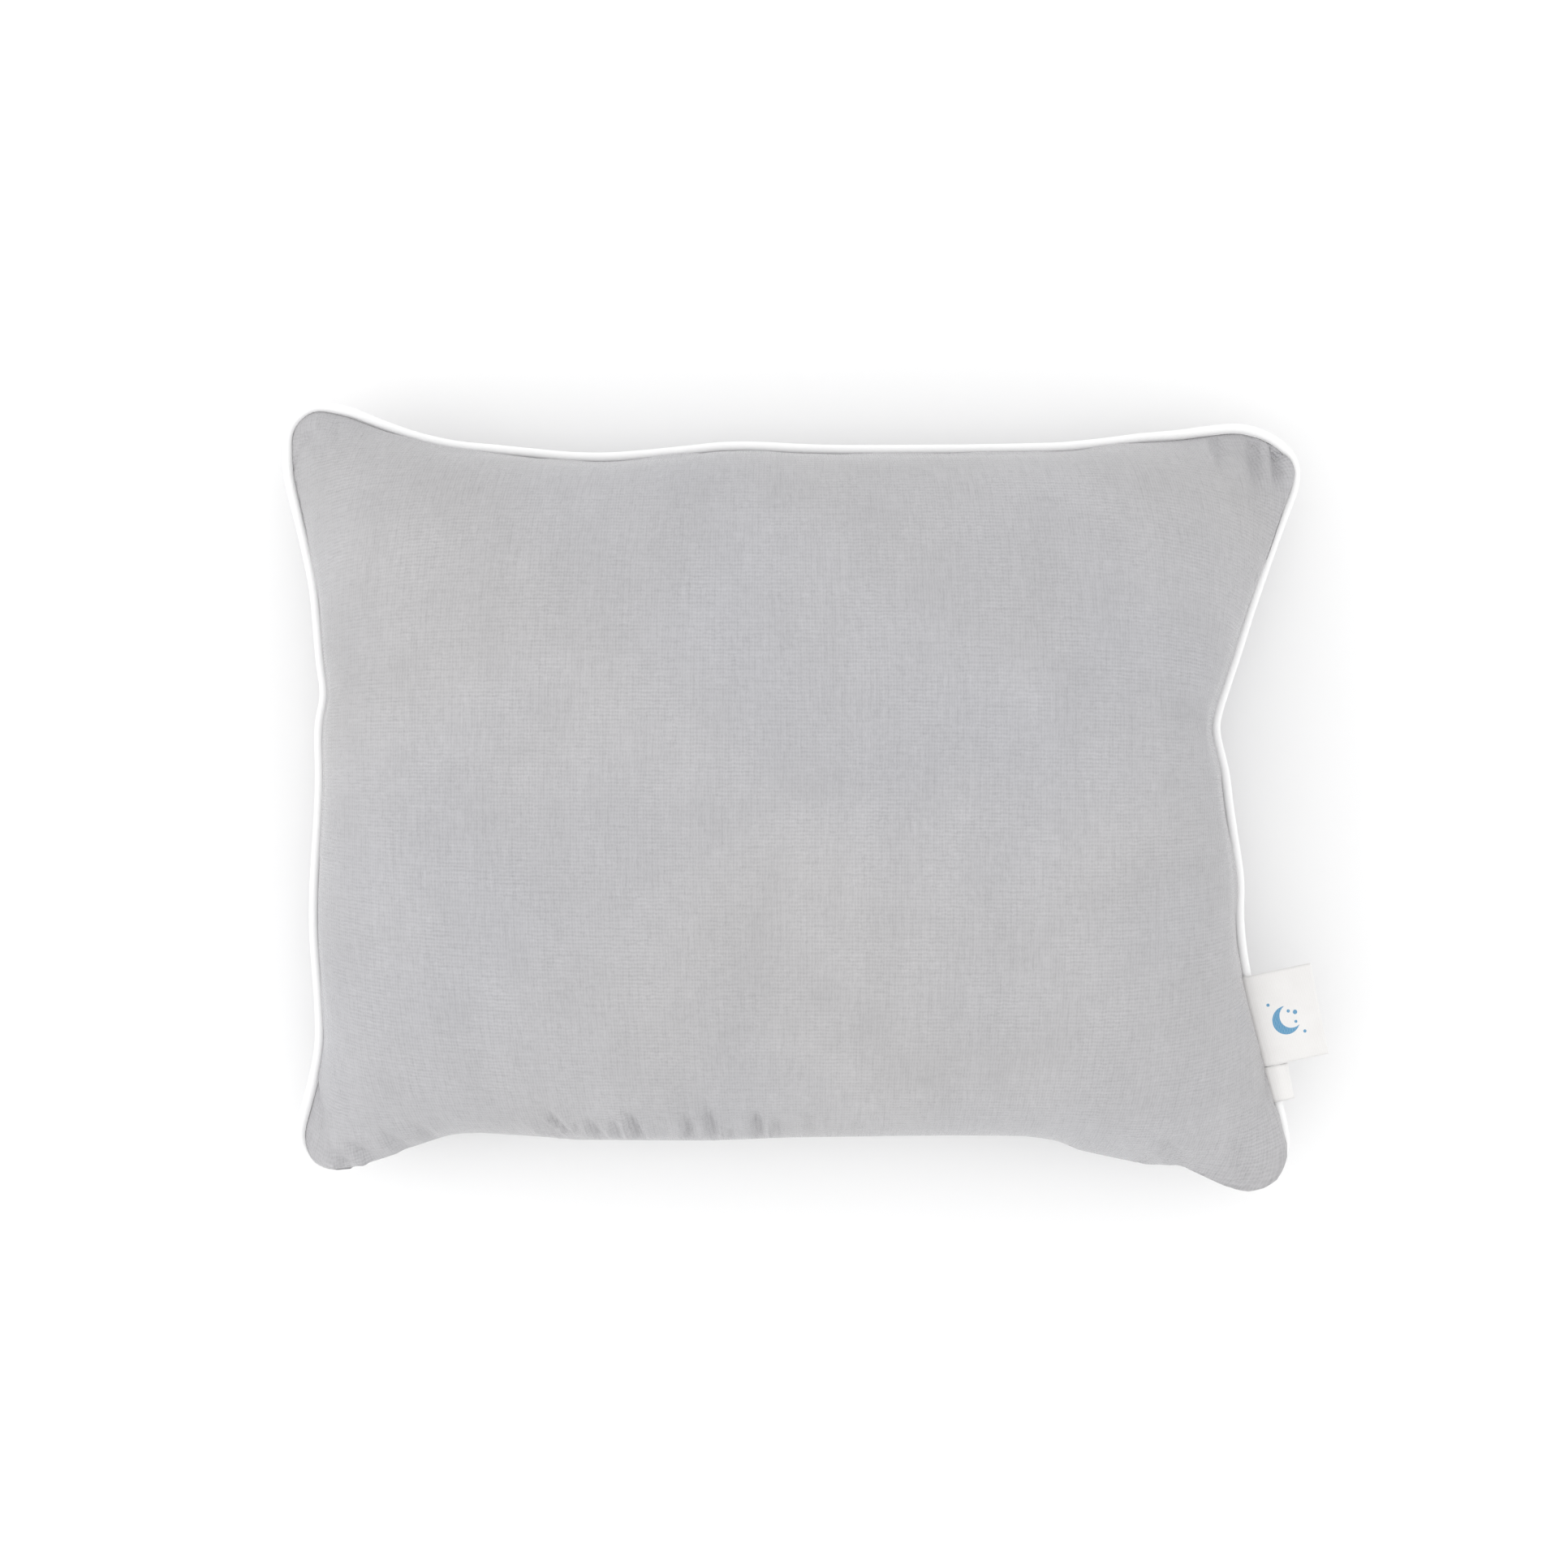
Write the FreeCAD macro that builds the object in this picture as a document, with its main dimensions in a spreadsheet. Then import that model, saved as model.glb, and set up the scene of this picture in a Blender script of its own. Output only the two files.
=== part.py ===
import FreeCAD, Part
import math
import os

import Sketcher

# A piped bed pillow: a zipped cover of two panels, 450 x 350 mm when flat, round a filled inner case.
#
# The origin is the middle of the face that the pillow rests on. +Z is up, +X runs along the long side towards
# the labels, and the zip is below the piping on the -Y side. Sizes are in millimetres.
#
# The cover and the inner case are both bags, lofted between outlines. An outline has four round ears, joined
# by sides that pull in between them: one arc on three of the sides, and a straight run between two arcs on
# the -Y side, where the zip is.

Vec = FreeCAD.Vector
ALONG = Vec(1, 0, 0)
ACROSS = Vec(0, 1, 0)
UP = Vec(0, 0, 1)

DIMENSIONS = {
    # The seam's outline: the middles of the ears' arcs, their radius, and how far each side pulls in.
    "nw_x": -196.0, "nw_y": 147.3, "ne_x": 196.0, "ne_y": 138.0,
    "sw_x": -190.0, "sw_y": -140.0, "se_x": 191.5, "se_y": -147.5,
    "north_pull": 14.3, "east_pull": 28.0, "west_pull": 11.5, "south_pull": 23.75,
    # Heights above the resting face.
    "seam_height": 38.0, "crown_height": 105.0,
    # The lofts' levels from the seam to the crown: share of the rise, and share of three sides' pull.
    "rise_0": 0.0, "rise_1": 0.2, "rise_2": 0.42, "rise_3": 0.62,
    "rise_4": 0.8, "rise_5": 0.93, "rise_6": 1.0,
    "pull_0": 1.0, "pull_1": 0.35, "pull_2": 0.27, "pull_3": 0.2,
    "pull_4": 0.15, "pull_5": 0.1, "pull_6": 0.05,
    # At each level, how far the ears' middles move in, and their radius.
    "ear_in_0": 0.0, "ear_in_1": 26.0, "ear_in_2": 36.0, "ear_in_3": 48.0,
    "ear_in_4": 64.0, "ear_in_5": 86.0, "ear_in_6": 120.0,
    "ear_0": 15.0, "ear_1": 22.0, "ear_2": 31.0, "ear_3": 38.0, "ear_4": 45.0, "ear_5": 46.0, "ear_6": 38.0,
    # At each level on the zip's side, how far the straight run moves in from the seam, and half its length.
    "wall_in_0": 0.0, "wall_in_1": 1.5, "wall_in_2": 1.5, "wall_in_3": 7.0,
    "wall_in_4": 17.0, "wall_in_5": 37.0, "wall_in_6": 78.0,
    "run_0": 112.0, "run_1": 112.0, "run_2": 92.0, "run_3": 80.0, "run_4": 64.0, "run_5": 42.0, "run_6": 10.0,
    # At each level, how far inside the cover the inner case is.
    "inside_0": 11.5, "inside_1": 9.0, "inside_2": 5.5, "inside_3": 4.5,
    "inside_4": 3.5, "inside_5": 2.5, "inside_6": 1.5,
    # Cloth, seam allowance and thread.
    "panel_cloth": 1.0, "rim_tall": 2.0, "case_cloth": 0.6, "inner_slack": 2.0, "filling_gap": 0.3,
    "allowance": 10.0, "thread_radius": 0.2, "thread_inset": 4.2, "layer_gap": 0.05, "case_gap": 0.3,
    # Piping.
    "piping_radius": 2.0, "piping_bore": 1.5, "cord_radius": 1.45, "piping_gap": 0.1, "piping_bite": 0.3,
    # Zip chain, from the middle of its teeth.
    "chain_out": 1.5, "chain_drop": 5.8, "chain_half": 104.0, "tooth_pitch": 1.2, "tooth_thick": 0.5,
    "tooth_out": 1.8, "tooth_in": 0.9, "tooth_over": 0.9, "tooth_tall": 1.6,
    "core_deep": 1.1, "core_thick": 0.6, "stop_long": 3.0, "stop_half": 2.2, "stop_in": 0.85, "stop_gap": 0.1,
    # Zip tapes, and the slot and hem of the back panel.
    "tape_thick": 0.5, "tape_gap": 0.15, "tape_half": 110.0, "tape_flat_from": 3.6, "tape_flat_to": 10.5,
    "tape_end_height": 22.2, "tape_bend": 29.2,
    "slot_half": 111.0, "slot_depth": 9.4, "slot_out": 5.0, "hem_end_height": 22.6, "hem_gap": 0.1,
    # Slider and pull tab.
    "slider_x": 97.5, "slider_long": 9.5, "slider_out": 3.2, "slider_in": 3.0, "slider_half": 3.1,
    "slider_round": 0.8, "bore_out": 2.1, "bore_in": 1.3, "bore_half": 1.9, "mouth_half": 1.0,
    "lug_long": 3.0, "lug_reach": 2.0, "lug_half": 0.8, "pin_out": 1.0, "pin_radius": 0.5, "pin_play": 0.08,
    "tab_long": 17.0, "tab_near": 0.6, "tab_half": 3.0, "tab_thick": 1.2, "tab_round": 2.6,
    "fork_gap": 0.3, "fork_deep": 3.2, "grip_hole": 1.4, "grip_from_end": 3.2,
    # Zip stitching.
    "stitch_height": 25.5, "stitch_long": 2.4, "stitch_pitch": 3.2, "stitch_half": 0.3, "stitch_deep": 0.3,
    "stitch_run": 90.0,
    # Labels: where each crosses the seam, their shared turn, and each one's size along the seam and out.
    "brand_x": 191.5, "brand_y": -95.4, "brand_wide": 39.0, "brand_reach": 31.0, "brand_fall": 2.5,
    "care_x": 198.9, "care_y": -122.7, "care_wide": 15.0, "care_reach": 12.5, "care_fall": 1.0,
    "label_turn": 11.5, "label_thick": 0.8, "label_root": 8.0, "label_crest": 6.0, "climb_from": 2.9,
    "climb_to": 1.0, "label_mitre": 0.27, "notch_tall": 2.7, "notch_slack": 0.3,
    # How far a cut runs on past what it cuts.
    "overcut": 1.0,
}
LEVELS = range(7)
CORNERS = ("sw", "se", "ne", "nw")


class Size:
    """A number together with the sheet formula that gives it."""

    def __init__(self, text, value):
        self.text = text
        self.value = value

    def joined(self, sign, other, value, first=True):
        """This size joined to another size or number by a sign."""
        text = other.text if isinstance(other, Size) else f"{other}"
        pair = (self.text, text) if first else (text, self.text)
        return Size(f"({pair[0]} {sign} {pair[1]})", value)

    def __add__(self, other):
        return self.joined("+", other, self.value + value_of(other))

    def __sub__(self, other):
        return self.joined("-", other, self.value - value_of(other))

    def __mul__(self, other):
        return self.joined("*", other, self.value * value_of(other))

    def __truediv__(self, other):
        return self.joined("/", other, self.value / value_of(other))

    def __rsub__(self, other):
        return self.joined("-", other, other - self.value, first=False)

    def __rmul__(self, other):
        return self.joined("*", other, other * self.value, first=False)

    def __neg__(self):
        return Size(f"(0 - {self.text})", -self.value)


def value_of(size):
    """The number that a size stands for."""
    return size.value if isinstance(size, Size) else float(size)


def dim(alias):
    """The size that the sheet holds under an alias."""
    return Size(f"Sizes.{alias}", DIMENSIONS[alias])


doc = FreeCAD.newDocument("BedPillow")
sheet = doc.addObject("Spreadsheet::Sheet", "Sizes")
for row, (alias, number) in enumerate(DIMENSIONS.items(), start=1):
    sheet.set(f"A{row}", alias)
    sheet.set(f"B{row}", str(number))
    sheet.setAlias(f"B{row}", alias)
doc.recompute()

parts = []
seam_z = dim("seam_height")
cloth = dim("panel_cloth")
run_y = (dim("sw_y") + dim("se_y")) / 2
seam_y = run_y - dim("ear_0") + dim("south_pull")
chain_y = seam_y - dim("chain_out")
chain_z = seam_z - dim("chain_drop")
wall_y = seam_y + dim("wall_in_2")


def bind(thing, path, size):
    """Binds a property to a size's formula."""
    thing.setExpression(path, size.text if isinstance(size, Size) else f"{size}")


def new_body(label):
    """A PartDesign body that is one sub-part."""
    body = doc.addObject("PartDesign::Body", label)
    body.Label = label
    parts.append(body)
    return body


def origin_of(body, role):
    """One of the body's own origin planes or axes."""
    return next(f for f in body.Origin.OriginFeatures if f.Role == role)


def new_sketch(body, name, role="XY_Plane", height=0):
    """A sketch parallel to an origin plane of its body, at a height along the plane's normal."""
    sketch = body.newObject("Sketcher::SketchObject", name)
    sketch.AttachmentSupport = [(origin_of(body, role), "")]
    sketch.MapMode = "FlatFace"
    bind(sketch, "AttachmentOffset.Base.z", height)
    return sketch


def hold(sketch, kind, *where, size=None):
    """Adds a constraint, and binds its value if it has one."""
    if size is None:
        sketch.addConstraint(Sketcher.Constraint(kind, *where))
    else:
        index = sketch.addConstraint(Sketcher.Constraint(kind, *where, value_of(size)))
        bind(sketch, f"Constraints[{index}]", size)


def hold_point(sketch, edge, end, x, y):
    """Fixes one point of an edge at x and y."""
    hold(sketch, "DistanceX", -1, 1, edge, end, size=x)
    hold(sketch, "DistanceY", -1, 1, edge, end, size=y)


def polygon(sketch, points):
    """A closed polygon through (x, y) sizes."""
    places = [Vec(value_of(x), value_of(y), 0) for x, y in points]
    count = len(places)
    for i in range(count):
        sketch.addGeometry(Part.LineSegment(places[i], places[(i + 1) % count]), False)
    for i in range(count):
        hold(sketch, "Coincident", i, 2, (i + 1) % count, 1)
    for i, (x, y) in enumerate(points):
        hold_point(sketch, i, 1, x, y)


def rectangle(sketch, low, high):
    """A rectangle between two opposite corners."""
    polygon(sketch, [low, (high[0], low[1]), high, (low[0], high[1])])


def circle(sketch, x, y, radius):
    """A circle."""
    ring = Part.Circle(Vec(value_of(x), value_of(y), 0), UP, value_of(radius))
    edge = sketch.addGeometry(ring, False)
    hold_point(sketch, edge, 3, x, y)
    hold(sketch, "Radius", edge, size=radius)


# ---------------------------------------------------------------- outlines


def ear_middle(corner, inward):
    """The middle of a corner's ear, moved in towards the pillow's middle."""
    x, y = dim(f"{corner}_x"), dim(f"{corner}_y")
    return (x + inward if "w" in corner else x - inward, y + inward if "s" in corner else y - inward)


def arc_between(middle, radius, start, end, convex):
    """The arc from start to end, counterclockwise round an ear and clockwise round a hollow."""
    first, last = (start, end) if convex else (end, start)
    angles = [math.atan2(p.y - middle.y, p.x - middle.x) for p in (first, last)]
    return Part.ArcOfCircle(Part.Circle(middle, UP, radius), *angles)


def outline(sketch, offset=0, level=0):
    """The pillow's outline at a level, offset outwards; its straight run is two halves that meet at x = 0."""
    out = value_of(offset)
    ear, pull, run = dim(f"ear_{level}"), dim(f"pull_{level}"), dim(f"run_{level}")
    ear_radius = value_of(ear)
    middles = {corner: ear_middle(corner, dim(f"ear_in_{level}")) for corner in CORNERS}
    places = {corner: Vec(value_of(x), value_of(y), 0) for corner, (x, y) in middles.items()}
    south = seam_y + dim(f"wall_in_{level}")

    def side(a, b, name):
        """The hollow between two ears: its radius as a size, and its middle."""
        (ax, ay), (bx, by) = middles[a], middles[b]
        depth = dim(f"{name}_pull") * pull
        half_chord_squared = ((bx - ax) * (bx - ax) + (by - ay) * (by - ay)) / 4
        reach = (half_chord_squared + depth * depth) / (2 * depth)
        chord = places[b] - places[a]
        outward = Vec(chord.y, -chord.x, 0).normalize()
        lift = value_of(reach) - value_of(depth)
        return reach - ear, (places[a] + places[b]) / 2 + outward * lift

    def run_end(corner, end_x):
        """The hollow between an ear and the end of the straight run."""
        across = places[corner].x - end_x
        depth = value_of(south) - (places[corner].y - ear_radius)
        radius = (across ** 2 + depth ** 2) / (2 * depth) - ear_radius
        return radius, Vec(end_x, value_of(south) - radius, 0)

    hollows = {
        "se": run_end("se", value_of(run)),
        "east": side("se", "ne", "east"),
        "north": side("ne", "nw", "north"),
        "west": side("nw", "sw", "west"),
        "sw": run_end("sw", -value_of(run)),
    }

    def touch(corner, hollow):
        """Where an ear meets a hollow, on the offset outline."""
        return places[corner] + (hollows[hollow][1] - places[corner]).normalize() * (ear_radius + out)

    south_edge = value_of(south) - out
    low = Vec(0, south_edge, 0)
    right = Vec(value_of(run), south_edge, 0)
    left = Vec(-value_of(run), south_edge, 0)
    walk = [("line", "", low, right), ("hollow", "se", right, touch("se", "se"))]
    for corner, before, after in (("se", "se", "east"), ("ne", "east", "north"), ("nw", "north", "west")):
        walk.append(("ear", corner, touch(corner, before), touch(corner, after)))
        following = {"east": "ne", "north": "nw", "west": "sw"}[after]
        walk.append(("hollow", after, touch(corner, after), touch(following, after)))
    walk.append(("ear", "sw", touch("sw", "west"), touch("sw", "sw")))
    walk.append(("hollow", "sw", touch("sw", "sw"), left))
    walk.append(("line", "", left, low))

    base = sketch.GeometryCount
    last = base + len(walk) - 1
    for kind, name, start, end in walk:
        if kind == "line":
            sketch.addGeometry(Part.LineSegment(start, end), False)
        elif kind == "ear":
            sketch.addGeometry(arc_between(places[name], ear_radius + out, start, end, True), False)
        else:
            radius, middle = hollows[name]
            sketch.addGeometry(arc_between(middle, value_of(radius) - out, start, end, False), False)
    for i, (kind, *_) in enumerate(walk):
        j = (i + 1) % len(walk)
        joint = "Coincident" if kind == walk[j][0] else "Tangent"
        leaving = 1 if kind == "hollow" else 2
        arriving = 2 if walk[j][0] == "hollow" else 1
        hold(sketch, joint, base + i, leaving, base + j, arriving)
    for edge, (kind, name, *_) in enumerate(walk, start=base):
        if kind == "ear":
            hold_point(sketch, edge, 3, *middles[name])
            hold(sketch, "Radius", edge, size=ear + offset)
        elif kind == "line":
            hold(sketch, "Horizontal", edge)
        elif name in ("east", "north", "west"):
            hold(sketch, "Radius", edge, size=hollows[name][0] - offset)
    hold_point(sketch, base, 1, 0, south - offset)
    hold(sketch, "DistanceX", -1, 1, base, 2, size=run)
    hold(sketch, "DistanceX", -1, 1, last, 1, size=-run)


def heights(start, rise):
    """The levels and their heights, from the seam to the crown; rise is negative for the back."""
    return [(level, start + rise * dim(f"rise_{level}")) for level in LEVELS]


def bag_loft(body, kind, name, steps, skin=0, inside=False):
    """A loft through the outlines of half a bag at (level, height) steps, less a skin."""
    sections = []
    for i, (level, height) in enumerate(steps):
        sketch = new_sketch(body, f"{name}_{i}", height=height)
        depth = dim(f"inside_{level}") + skin if inside else skin
        outline(sketch, -depth, level)
        sections.append(sketch)
    feature = body.newObject(f"PartDesign::{kind}Loft", name)
    feature.Profile = sections[0]
    feature.Sections = sections[1:]
    feature.Ruled = True
    doc.recompute()


def extrude(body, kind, name, sketch, length, backwards=False, middle=False):
    """A Pad or Pocket of a sketch; a pocket has to take something away."""
    before = 0 if kind == "Pad" else body.Shape.Volume
    feature = body.newObject(f"PartDesign::{kind}", name)
    feature.Profile = sketch
    bind(feature, "Length", length)
    feature.Midplane = middle
    feature.Reversed = backwards
    doc.recompute()
    if kind == "Pocket" and not body.Shape.Volume < before:
        raise RuntimeError(f"{body.Label}: {name} cut nothing")
    return feature


def sweep(body, kind, name, spine, profile):
    """A profile swept round a closed outline."""
    feature = body.newObject(f"PartDesign::{kind}Pipe", name)
    feature.Profile = profile
    feature.Spine = (spine, [])
    doc.recompute()


def runs_along(edge, axis):
    """Whether an edge runs along an axis rather than across it."""
    return abs(edge.tangentAt(edge.FirstParameter).dot(axis)) > math.cos(math.pi / 4)


def round_edges(body, name, pad, wanted, radius):
    """Rounds the edges of a pad that pass a test on the edge."""
    rounding = body.newObject("PartDesign::Fillet", name)
    rounding.Base = (pad, [f"Edge{i}" for i, edge in enumerate(pad.Shape.Edges, start=1) if wanted(edge)])
    bind(rounding, "Radius", radius)
    doc.recompute()


# ---------------------------------------------------------------- cover


def cover_panel(label, up):
    """One panel of the cover: a crowned shell with an upright rim, and its seam allowance turned in."""
    body = new_body(label)
    sign = 1 if up else -1
    plane = seam_z + sign * cloth / 2
    rise = dim("crown_height") - plane if up else -plane
    steps = heights(plane, rise)
    rim = [(0, plane), (0, plane + sign * dim("rim_tall"))]
    bag_loft(body, "Additive", "Crown", rim + steps[1:])
    hollow = [(0, plane + sign * cloth)] + [(level, height - sign * cloth) for level, height in steps[1:]]
    bag_loft(body, "Subtractive", "Hollow", hollow, cloth)
    mouth = new_sketch(body, "Mouth", height=plane)
    outline(mouth, -dim("allowance"))
    extrude(body, "Pocket", "Opening", mouth, cloth, backwards=up)
    return body


def front_panel():
    """The front panel, notched where the labels run into the seam."""
    body = cover_panel("front_panel", up=True)
    for name in ("brand", "care"):
        sketch = new_sketch(body, f"{name.title()}Notch", height=seam_z + cloth / 2)
        bind(sketch, "AttachmentOffset.Base.x", dim(f"{name}_x"))
        bind(sketch, "AttachmentOffset.Base.y", dim(f"{name}_y"))
        bind(sketch, "AttachmentOffset.Rotation.Angle", dim("label_turn"))
        half = dim(f"{name}_wide") / 2 + dim("notch_slack")
        root = dim("label_root") + dim("notch_slack")
        rectangle(sketch, (-root, -half), (dim("label_crest"), half))
        extrude(body, "Pocket", f"{name.title()}Slot", sketch, dim("notch_tall"), backwards=True)


def back_panel():
    """The back panel, with the slot for the zip and the hem that is turned in below it."""
    body = cover_panel("back_panel", up=False)
    slot = new_sketch(body, "SlotOutline", height=seam_z)
    half = dim("slot_half")
    rectangle(slot, (-half, seam_y - dim("slot_out")), (half, seam_y + dim("allowance") + dim("overcut")))
    extrude(body, "Pocket", "Slot", slot, dim("slot_depth"))
    hem = new_sketch(body, "HemSection", "YZ_Plane")
    top = seam_z - dim("slot_depth")
    fold = top - cloth
    end = dim("hem_end_height")
    near = wall_y + cloth + dim("hem_gap")
    far = near + cloth
    corners = [(wall_y - cloth / 2, fold), (near, fold), (near, end), (far, end), (far, top)]
    polygon(hem, corners + [(wall_y - cloth / 2, top)])
    extrude(body, "Pad", "Hem", hem, 2 * half, middle=True)


def piping():
    """The piping: a cord, and the strip that wraps it and runs on into the seam."""
    offset = dim("piping_gap") + dim("piping_radius")
    for label, radius in (("piping_cover", dim("piping_radius")), ("piping_cord", dim("cord_radius"))):
        body = new_body(label)
        route = new_sketch(body, "Route", height=seam_z)
        outline(route, offset)
        section = new_sketch(body, "Section", "YZ_Plane")
        circle(section, seam_y - offset, seam_z, radius)
        sweep(body, "Additive", "Tube", route, section)
        if label == "piping_cover":
            bore = new_sketch(body, "Bore", "YZ_Plane")
            circle(bore, seam_y - offset, seam_z, dim("piping_bore"))
            sweep(body, "Subtractive", "CordWay", route, bore)
            strip = new_sketch(body, "Strip", height=seam_z)
            outline(strip, dim("piping_bite"))
            outline(strip, -dim("allowance"))
            extrude(body, "Pad", "Allowance", strip, cloth - 2 * dim("layer_gap"), middle=True)


def thread_loop(label, height, inset):
    """A closed loop of thread, inset from the cover's seam."""
    body = new_body(label)
    route = new_sketch(body, "Route", height=height)
    outline(route, -inset)
    section = new_sketch(body, "Section", "YZ_Plane")
    circle(section, seam_y + inset, height, dim("thread_radius"))
    sweep(body, "Additive", "Loop", route, section)


def threads():
    """The cover seam's two threads, one on each face of its layers, and the inner case's overlock thread."""
    layers = 3
    face = cloth * layers / 2 + dim("thread_radius")
    thread_loop("seam_needle_thread", seam_z + face, dim("thread_inset"))
    thread_loop("seam_bobbin_thread", seam_z - face, dim("thread_inset"))
    thread_loop("inner_case_thread", seam_z, dim("inside_0") - dim("thread_radius") - dim("case_gap"))


# ---------------------------------------------------------------- inner pillow


def inner_case():
    """The inner case's two halves, which meet in the plane of the seam."""
    for label, sign in (("inner_case_front", 1), ("inner_case_back", -1)):
        body = new_body(label)
        plane = seam_z + sign * dim("layer_gap")
        peak = dim("crown_height") - dim("inner_slack") if sign > 0 else dim("inner_slack")
        rise = peak - plane
        skin = dim("case_cloth")
        bag_loft(body, "Additive", "Bag", heights(plane, rise), inside=True)
        bag_loft(body, "Subtractive", "Hollow", heights(plane, rise - sign * skin), skin, inside=True)


def filling():
    """The fibre filling: one soft body that fills the inner case."""
    body = new_body("filling")
    gap = dim("case_cloth") + dim("filling_gap")
    depth = dim("inner_slack") + gap
    for name, peak in (("Upper", dim("crown_height") - depth), ("Lower", depth)):
        bag_loft(body, "Additive", name, heights(seam_z, peak - seam_z), gap, inside=True)


# ---------------------------------------------------------------- zip


def zip_tapes():
    """The tapes: the upper one bends up to the piping's seam and the lower one down behind the hem."""
    near = chain_y + dim("tooth_in") + dim("layer_gap")
    leave = chain_y + dim("slider_in") + dim("notch_slack")
    thick = dim("tape_thick")
    gap = dim("tape_gap")

    body = new_body("zip_tape_upper")
    section = new_sketch(body, "Section", "YZ_Plane")
    face = seam_z - cloth / 2
    flat, end = seam_y + dim("tape_flat_from"), seam_y + dim("tape_flat_to")
    under = [(near, chain_z + gap), (leave + thick, chain_z + gap), (flat, face - thick), (end, face - thick)]
    over = [(end, face), (flat - thick, face), (leave, chain_z + gap + thick), (near, chain_z + gap + thick)]
    polygon(section, under + over)
    extrude(body, "Pad", "Tape", section, 2 * dim("tape_half"), middle=True)

    body = new_body("zip_tape_lower")
    section = new_sketch(body, "Section", "YZ_Plane")
    back = wall_y + 2 * (cloth + dim("hem_gap"))
    bend, end = dim("tape_bend"), dim("tape_end_height")
    top = chain_z - gap
    under = [(near, top), (near, top - thick), (leave, top - thick), (back, bend), (back, end)]
    over = [(back + thick, end), (back + thick, bend), (leave + thick, top)]
    polygon(section, under + over)
    extrude(body, "Pad", "Tape", section, 2 * dim("tape_half"), middle=True)


def zip_coils():
    """The coils: two rows of teeth, each row on a core, with the teeth of one in the gaps of the other."""
    near = chain_y + dim("tooth_in")
    far = chain_y - dim("tooth_out")
    count = int(2 * DIMENSIONS["chain_half"] / DIMENSIONS["tooth_pitch"]) - 1
    for label, sign, shift in (("zip_coil_upper", 1, 0), ("zip_coil_lower", -1, dim("tooth_pitch") / 2)):
        body = new_body(label)
        top = chain_z + sign * dim("tooth_tall")
        core = new_sketch(body, "CoreSection", "YZ_Plane")
        rectangle(core, (near - dim("core_deep"), top - sign * dim("core_thick")), (near, top))
        extrude(body, "Pad", "Core", core, 2 * dim("chain_half"), middle=True)
        first = dim("tooth_thick") - dim("chain_half") + shift
        tooth = new_sketch(body, "ToothSection", "YZ_Plane", height=first)
        rectangle(tooth, (far, chain_z - sign * dim("tooth_over")), (near, top))
        pad = extrude(body, "Pad", "Tooth", tooth, dim("tooth_thick"))
        row = body.newObject("PartDesign::LinearPattern", "Row")
        row.Originals = [pad]
        row.Direction = (origin_of(body, "X_Axis"), [""])
        bind(row, "Length", dim("tooth_pitch") * (count - 1))
        row.Occurrences = count
        body.Tip = row
        doc.recompute()


def blocks(label, spans):
    """A sub-part of separate blocks, each from its low corner and its three sides."""
    group = doc.addObject("Part::Compound", label)
    group.Label = label
    members = []
    for i, (corner, sides) in enumerate(spans):
        block = doc.addObject("Part::Box", f"{label}_{i}")
        for axis, size in zip("xyz", corner):
            bind(block, f"Placement.Base.{axis}", size)
        for side, size in zip(("Length", "Width", "Height"), sides):
            bind(block, side, size)
        members.append(block)
    group.Links = members
    parts.append(group)
    doc.recompute()


def zip_end_stops():
    """The stops at the two ends of the chain."""
    sides = (dim("stop_long"), dim("tooth_out") + dim("stop_in"), 2 * dim("stop_half"))
    ends = (dim("chain_half") + dim("stop_gap"), -(dim("chain_half") + dim("stop_gap") + dim("stop_long")))
    spans = [((x, chain_y - dim("tooth_out"), chain_z - dim("stop_half")), sides) for x in ends]
    blocks("zip_end_stops", spans)


def zip_slider():
    """The slider: a block round the chain, open inwards for the tapes, with a lug for the pull tab."""
    body = new_body("zip_slider")
    at = dim("slider_x")
    outer, inner = chain_y - dim("slider_out"), chain_y + dim("slider_in")
    block = new_sketch(body, "BlockSection", "YZ_Plane", height=at)
    rectangle(block, (outer, chain_z - dim("slider_half")), (inner, chain_z + dim("slider_half")))
    pad = extrude(body, "Pad", "Block", block, dim("slider_long"), middle=True)
    round_edges(body, "Rounding", pad, lambda edge: not runs_along(edge, ALONG), dim("slider_round"))

    way = new_sketch(body, "ChainWaySection", "YZ_Plane", height=at)
    left, right, beyond = chain_y - dim("bore_out"), chain_y + dim("bore_in"), inner + dim("overcut")
    low, high = chain_z - dim("bore_half"), chain_z + dim("bore_half")
    mouth_low, mouth_high = chain_z - dim("mouth_half"), chain_z + dim("mouth_half")
    lower = [(left, low), (right, low), (right, mouth_low), (beyond, mouth_low)]
    polygon(way, lower + [(beyond, mouth_high), (right, mouth_high), (right, high), (left, high)])
    extrude(body, "Pocket", "ChainWay", way, dim("slider_long") + 2 * dim("overcut"), middle=True)

    lug = new_sketch(body, "LugOutline", height=chain_z)
    half = dim("lug_long") / 2
    bite = outer + dim("slider_out") - dim("bore_out") - dim("layer_gap")
    rectangle(lug, (at - half, outer - dim("lug_reach")), (at + half, bite))
    extrude(body, "Pad", "Lug", lug, 2 * dim("lug_half"), middle=True)
    eye = new_sketch(body, "EyeOutline", height=chain_z)
    circle(eye, at, outer - dim("pin_out"), dim("pin_radius") + dim("pin_play"))
    extrude(body, "Pocket", "Eye", eye, 2 * dim("lug_half"), middle=True)


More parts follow.
